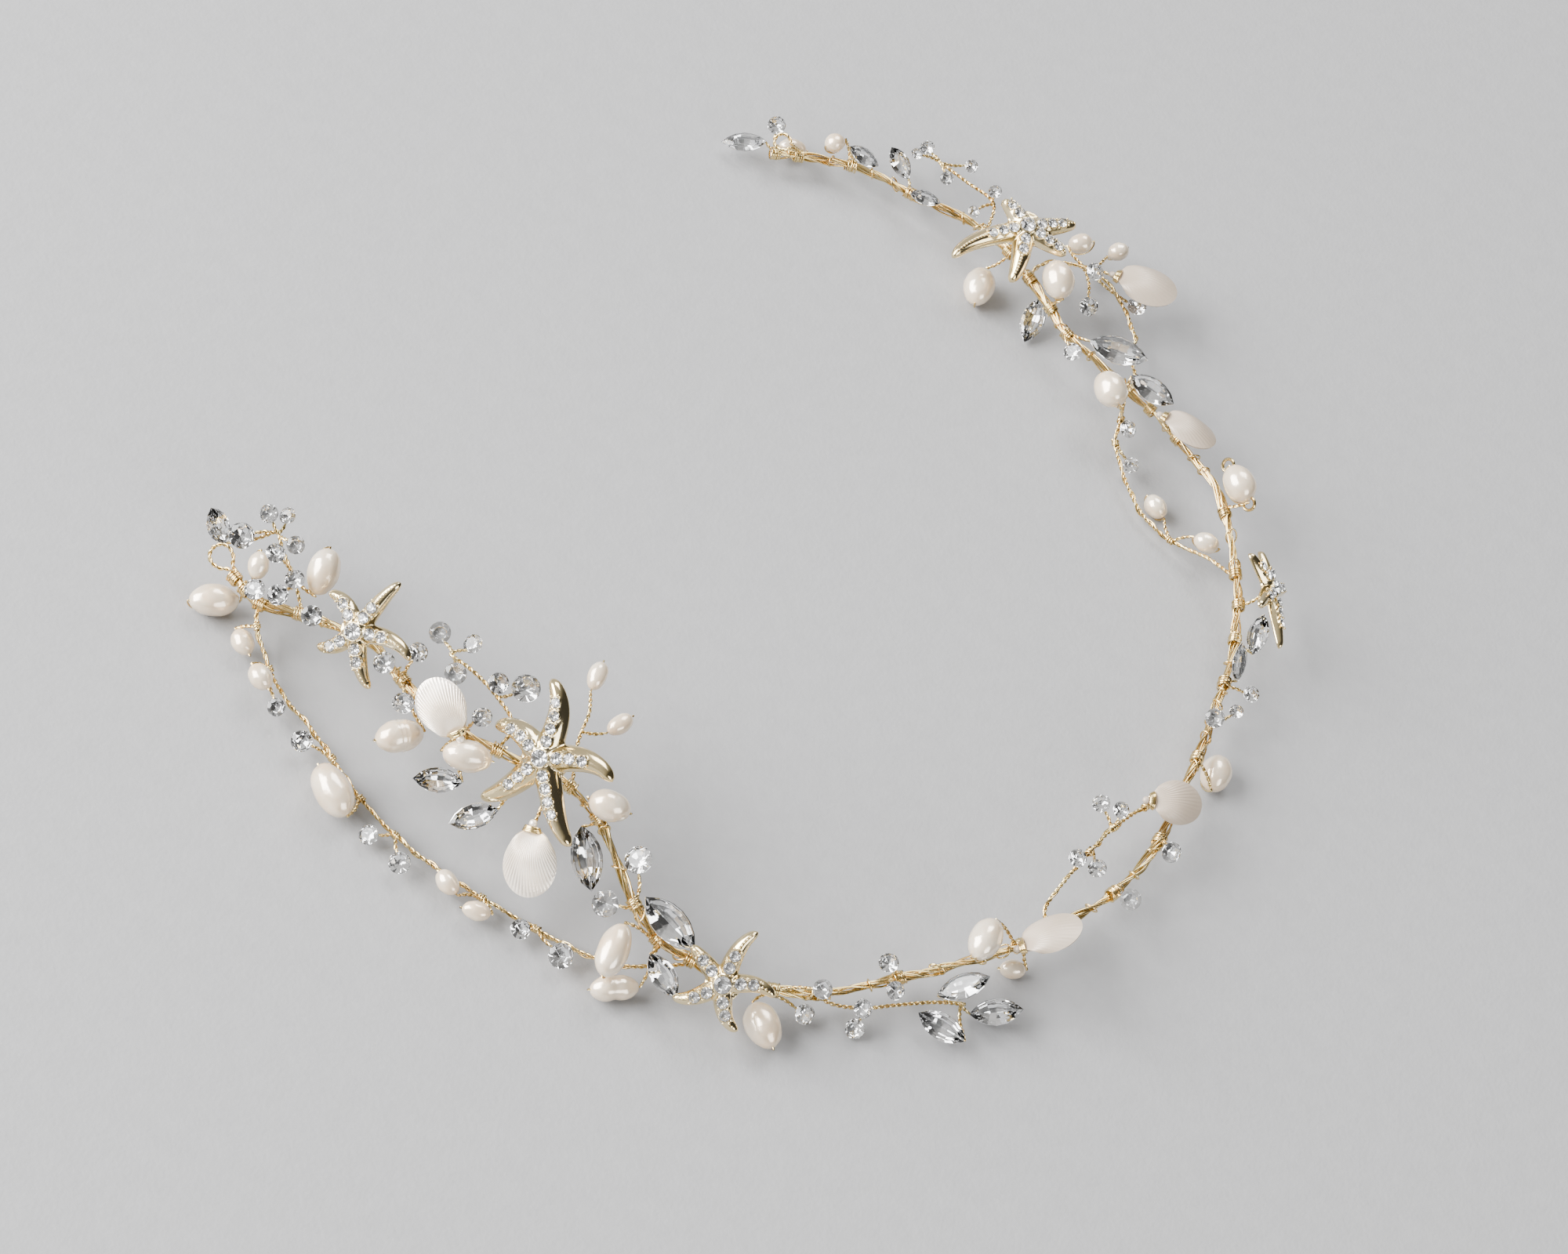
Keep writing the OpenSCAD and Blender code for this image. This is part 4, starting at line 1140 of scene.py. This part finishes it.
def sprig_wires(k):
    """Bindings, stalks and loops that grow from one root."""
    route = ROOTS[k][ROUTE]
    bend = ROOTS[k][BEND]
    path = route_bends(route)
    on_twig = route != ON_STEM and STRANDS[route - 1][END] == FREE
    wires = []
    if route == ON_STEM:
        wires.append(wrap(path, bend, STEM_WRAP_R, STEM_TURNS))
    elif not on_twig:
        wires.append(wrap(path, bend, STRAND_WRAP_R, STRAND_TURNS))
    way = run(path, bend)
    grown = sorted(tips[k], key=lambda tip: (tip["way"] - path[bend]).dot(way))
    for i, tip in enumerate(grown):
        along = (i - (len(grown) - 1) / 2) * min(STALK_STEP, FAN_W / max(1, len(grown) - 1))
        if on_twig and bend == len(path) - 1:
            along = -abs(along)
        if "eye" in tip:
            wires.append((tip["eye"], EYE_WIRE_R, True))
            continue
        foot = (path[bend] if on_twig else seat(route, bend, tip["end"])) + along * way
        end = tip["end"]
        gap = end - foot
        bow = gap.cross(Vector((0, 0, 1)))
        if bow.length:
            bow = bow.normalized() * min(BOW_MOST, BOW_SHARE * gap.length) * chance.choice((-1, 1))
        wires += twisted([foot, foot.lerp(end, 0.5) + bow, end], **STALK, step=0.17, taper=(0.6, 0.25))
        for part, radius, closed in TIP_WIRES:
            if part in tip:
                wires.append((tip[part], radius, closed))
    return wires


# Hairpin loops: way and angle that they lean, room for the wire, bearings of their points
PIN_AZIMUTH = -90
PIN_LEAN = 38
PIN_WIRE_ROOM = 0.2
PIN_BEARINGS = range(-160, 161, 40)
for (place, inner, bend), node in zip(PIN_LOOPS, ("left_pin_loop", "far_pin_loop")):
    middle = at(place)
    foot = seat(ON_STEM, bend, middle)
    normal = facing(Vector(), PIN_AZIMUTH, PIN_LEAN) @ Vector((0, 0, 1))
    down = (foot - middle) - (foot - middle).dot(normal) * normal
    down.normalize()
    across = normal.cross(down)
    r = inner / 2 + PIN_WIRE_ROOM
    line = [foot]
    for bearing in PIN_BEARINGS:
        a = math.radians(bearing)
        width = 0.5 + 0.5 * math.cos(a / 2.6) ** 2
        line.append(middle + r * (-math.cos(a) * down + math.sin(a) * width * across))
    line.append(foot + 0.3 * across)
    wires = twisted(line, radius=0.16, pitch=1.9, count=2, wire_r=0.16, step=0.18, taper=(0.6, 0.6))
    wires.append(wrap(stem_path, bend, STEM_WRAP_R, STEM_TURNS))
    wire_piece(node + "_wire", node, wires)

for region, name in enumerate(REGIONS):
    wires = []
    for k, root in enumerate(ROOTS):
        if root[REGION] == region:
            wires += sprig_wires(k)
    for row in STRANDS:
        if row[OWN_REGION] == region:
            wires += strand_wires(row)
    wire_piece(name + "_sprig_wires", name + "_sprigs", wires, sides=1)

for template in (ROUND, OVAL):
    bpy.data.objects.remove(template)


# Table and light

TABLE_M = 6
# Uncoated grey card: matte, with a fine felt-side grain that is drawn a little coarser than it is
table_card = material("uncoated_grey_card", {"Specular IOR Level": 0.2}, ["#989899", "#9c9c9d"],
                      grain_mm=3, rough=(0.85, 0.95), bump_mm=0.05, bump_grain_mm=0.8)
table = primitive(bpy.ops.mesh.primitive_plane_add, size=TABLE_M)
table.name = "table"
table.data.materials.append(table_card)


def soft_light(name, place, size, power):
    """Rectangle of light that looks at the vine: place and size in metres, power in watts."""
    data = bpy.data.lights.new(name, "AREA")
    data.shape = "RECTANGLE"
    data.size, data.size_y = size
    data.energy = power
    lamp = bpy.data.objects.new(name, data)
    bpy.context.scene.collection.objects.link(lamp)
    turn = Vector(place).to_track_quat("Z", "Y").to_matrix().to_4x4()
    lamp.matrix_world = Matrix.Translation(place) @ turn


soft_light("window", (-1.04, -0.47, 0.62), (1.15, 0.95), 88)
soft_light("far_window", (0.98, -0.62, 0.58), (0.65, 0.65), 10)
soft_light("ceiling", (-0.25, 0.92, 1.25), (0.8, 0.8), 22)

# Room: pale on the window side and dim on the other
world = bpy.data.worlds.new("room")
world.use_nodes = True
room = world.node_tree
across = add(room, "SeparateXYZ", {"Vector": add(room, "TexCoord").outputs["Generated"]})
shade = add(room, "MapRange", {
    "Value": across.outputs["X"], "From Min": -0.25, "From Max": 0.4, "To Min": 1.0, "To Max": 0.08},
    clamp=True)
room.links.new(shade.outputs["Result"], room.nodes["Background"].inputs["Strength"])
room.nodes["Background"].inputs["Color"].default_value = linear("#dcdad7")
bpy.context.scene.world = world
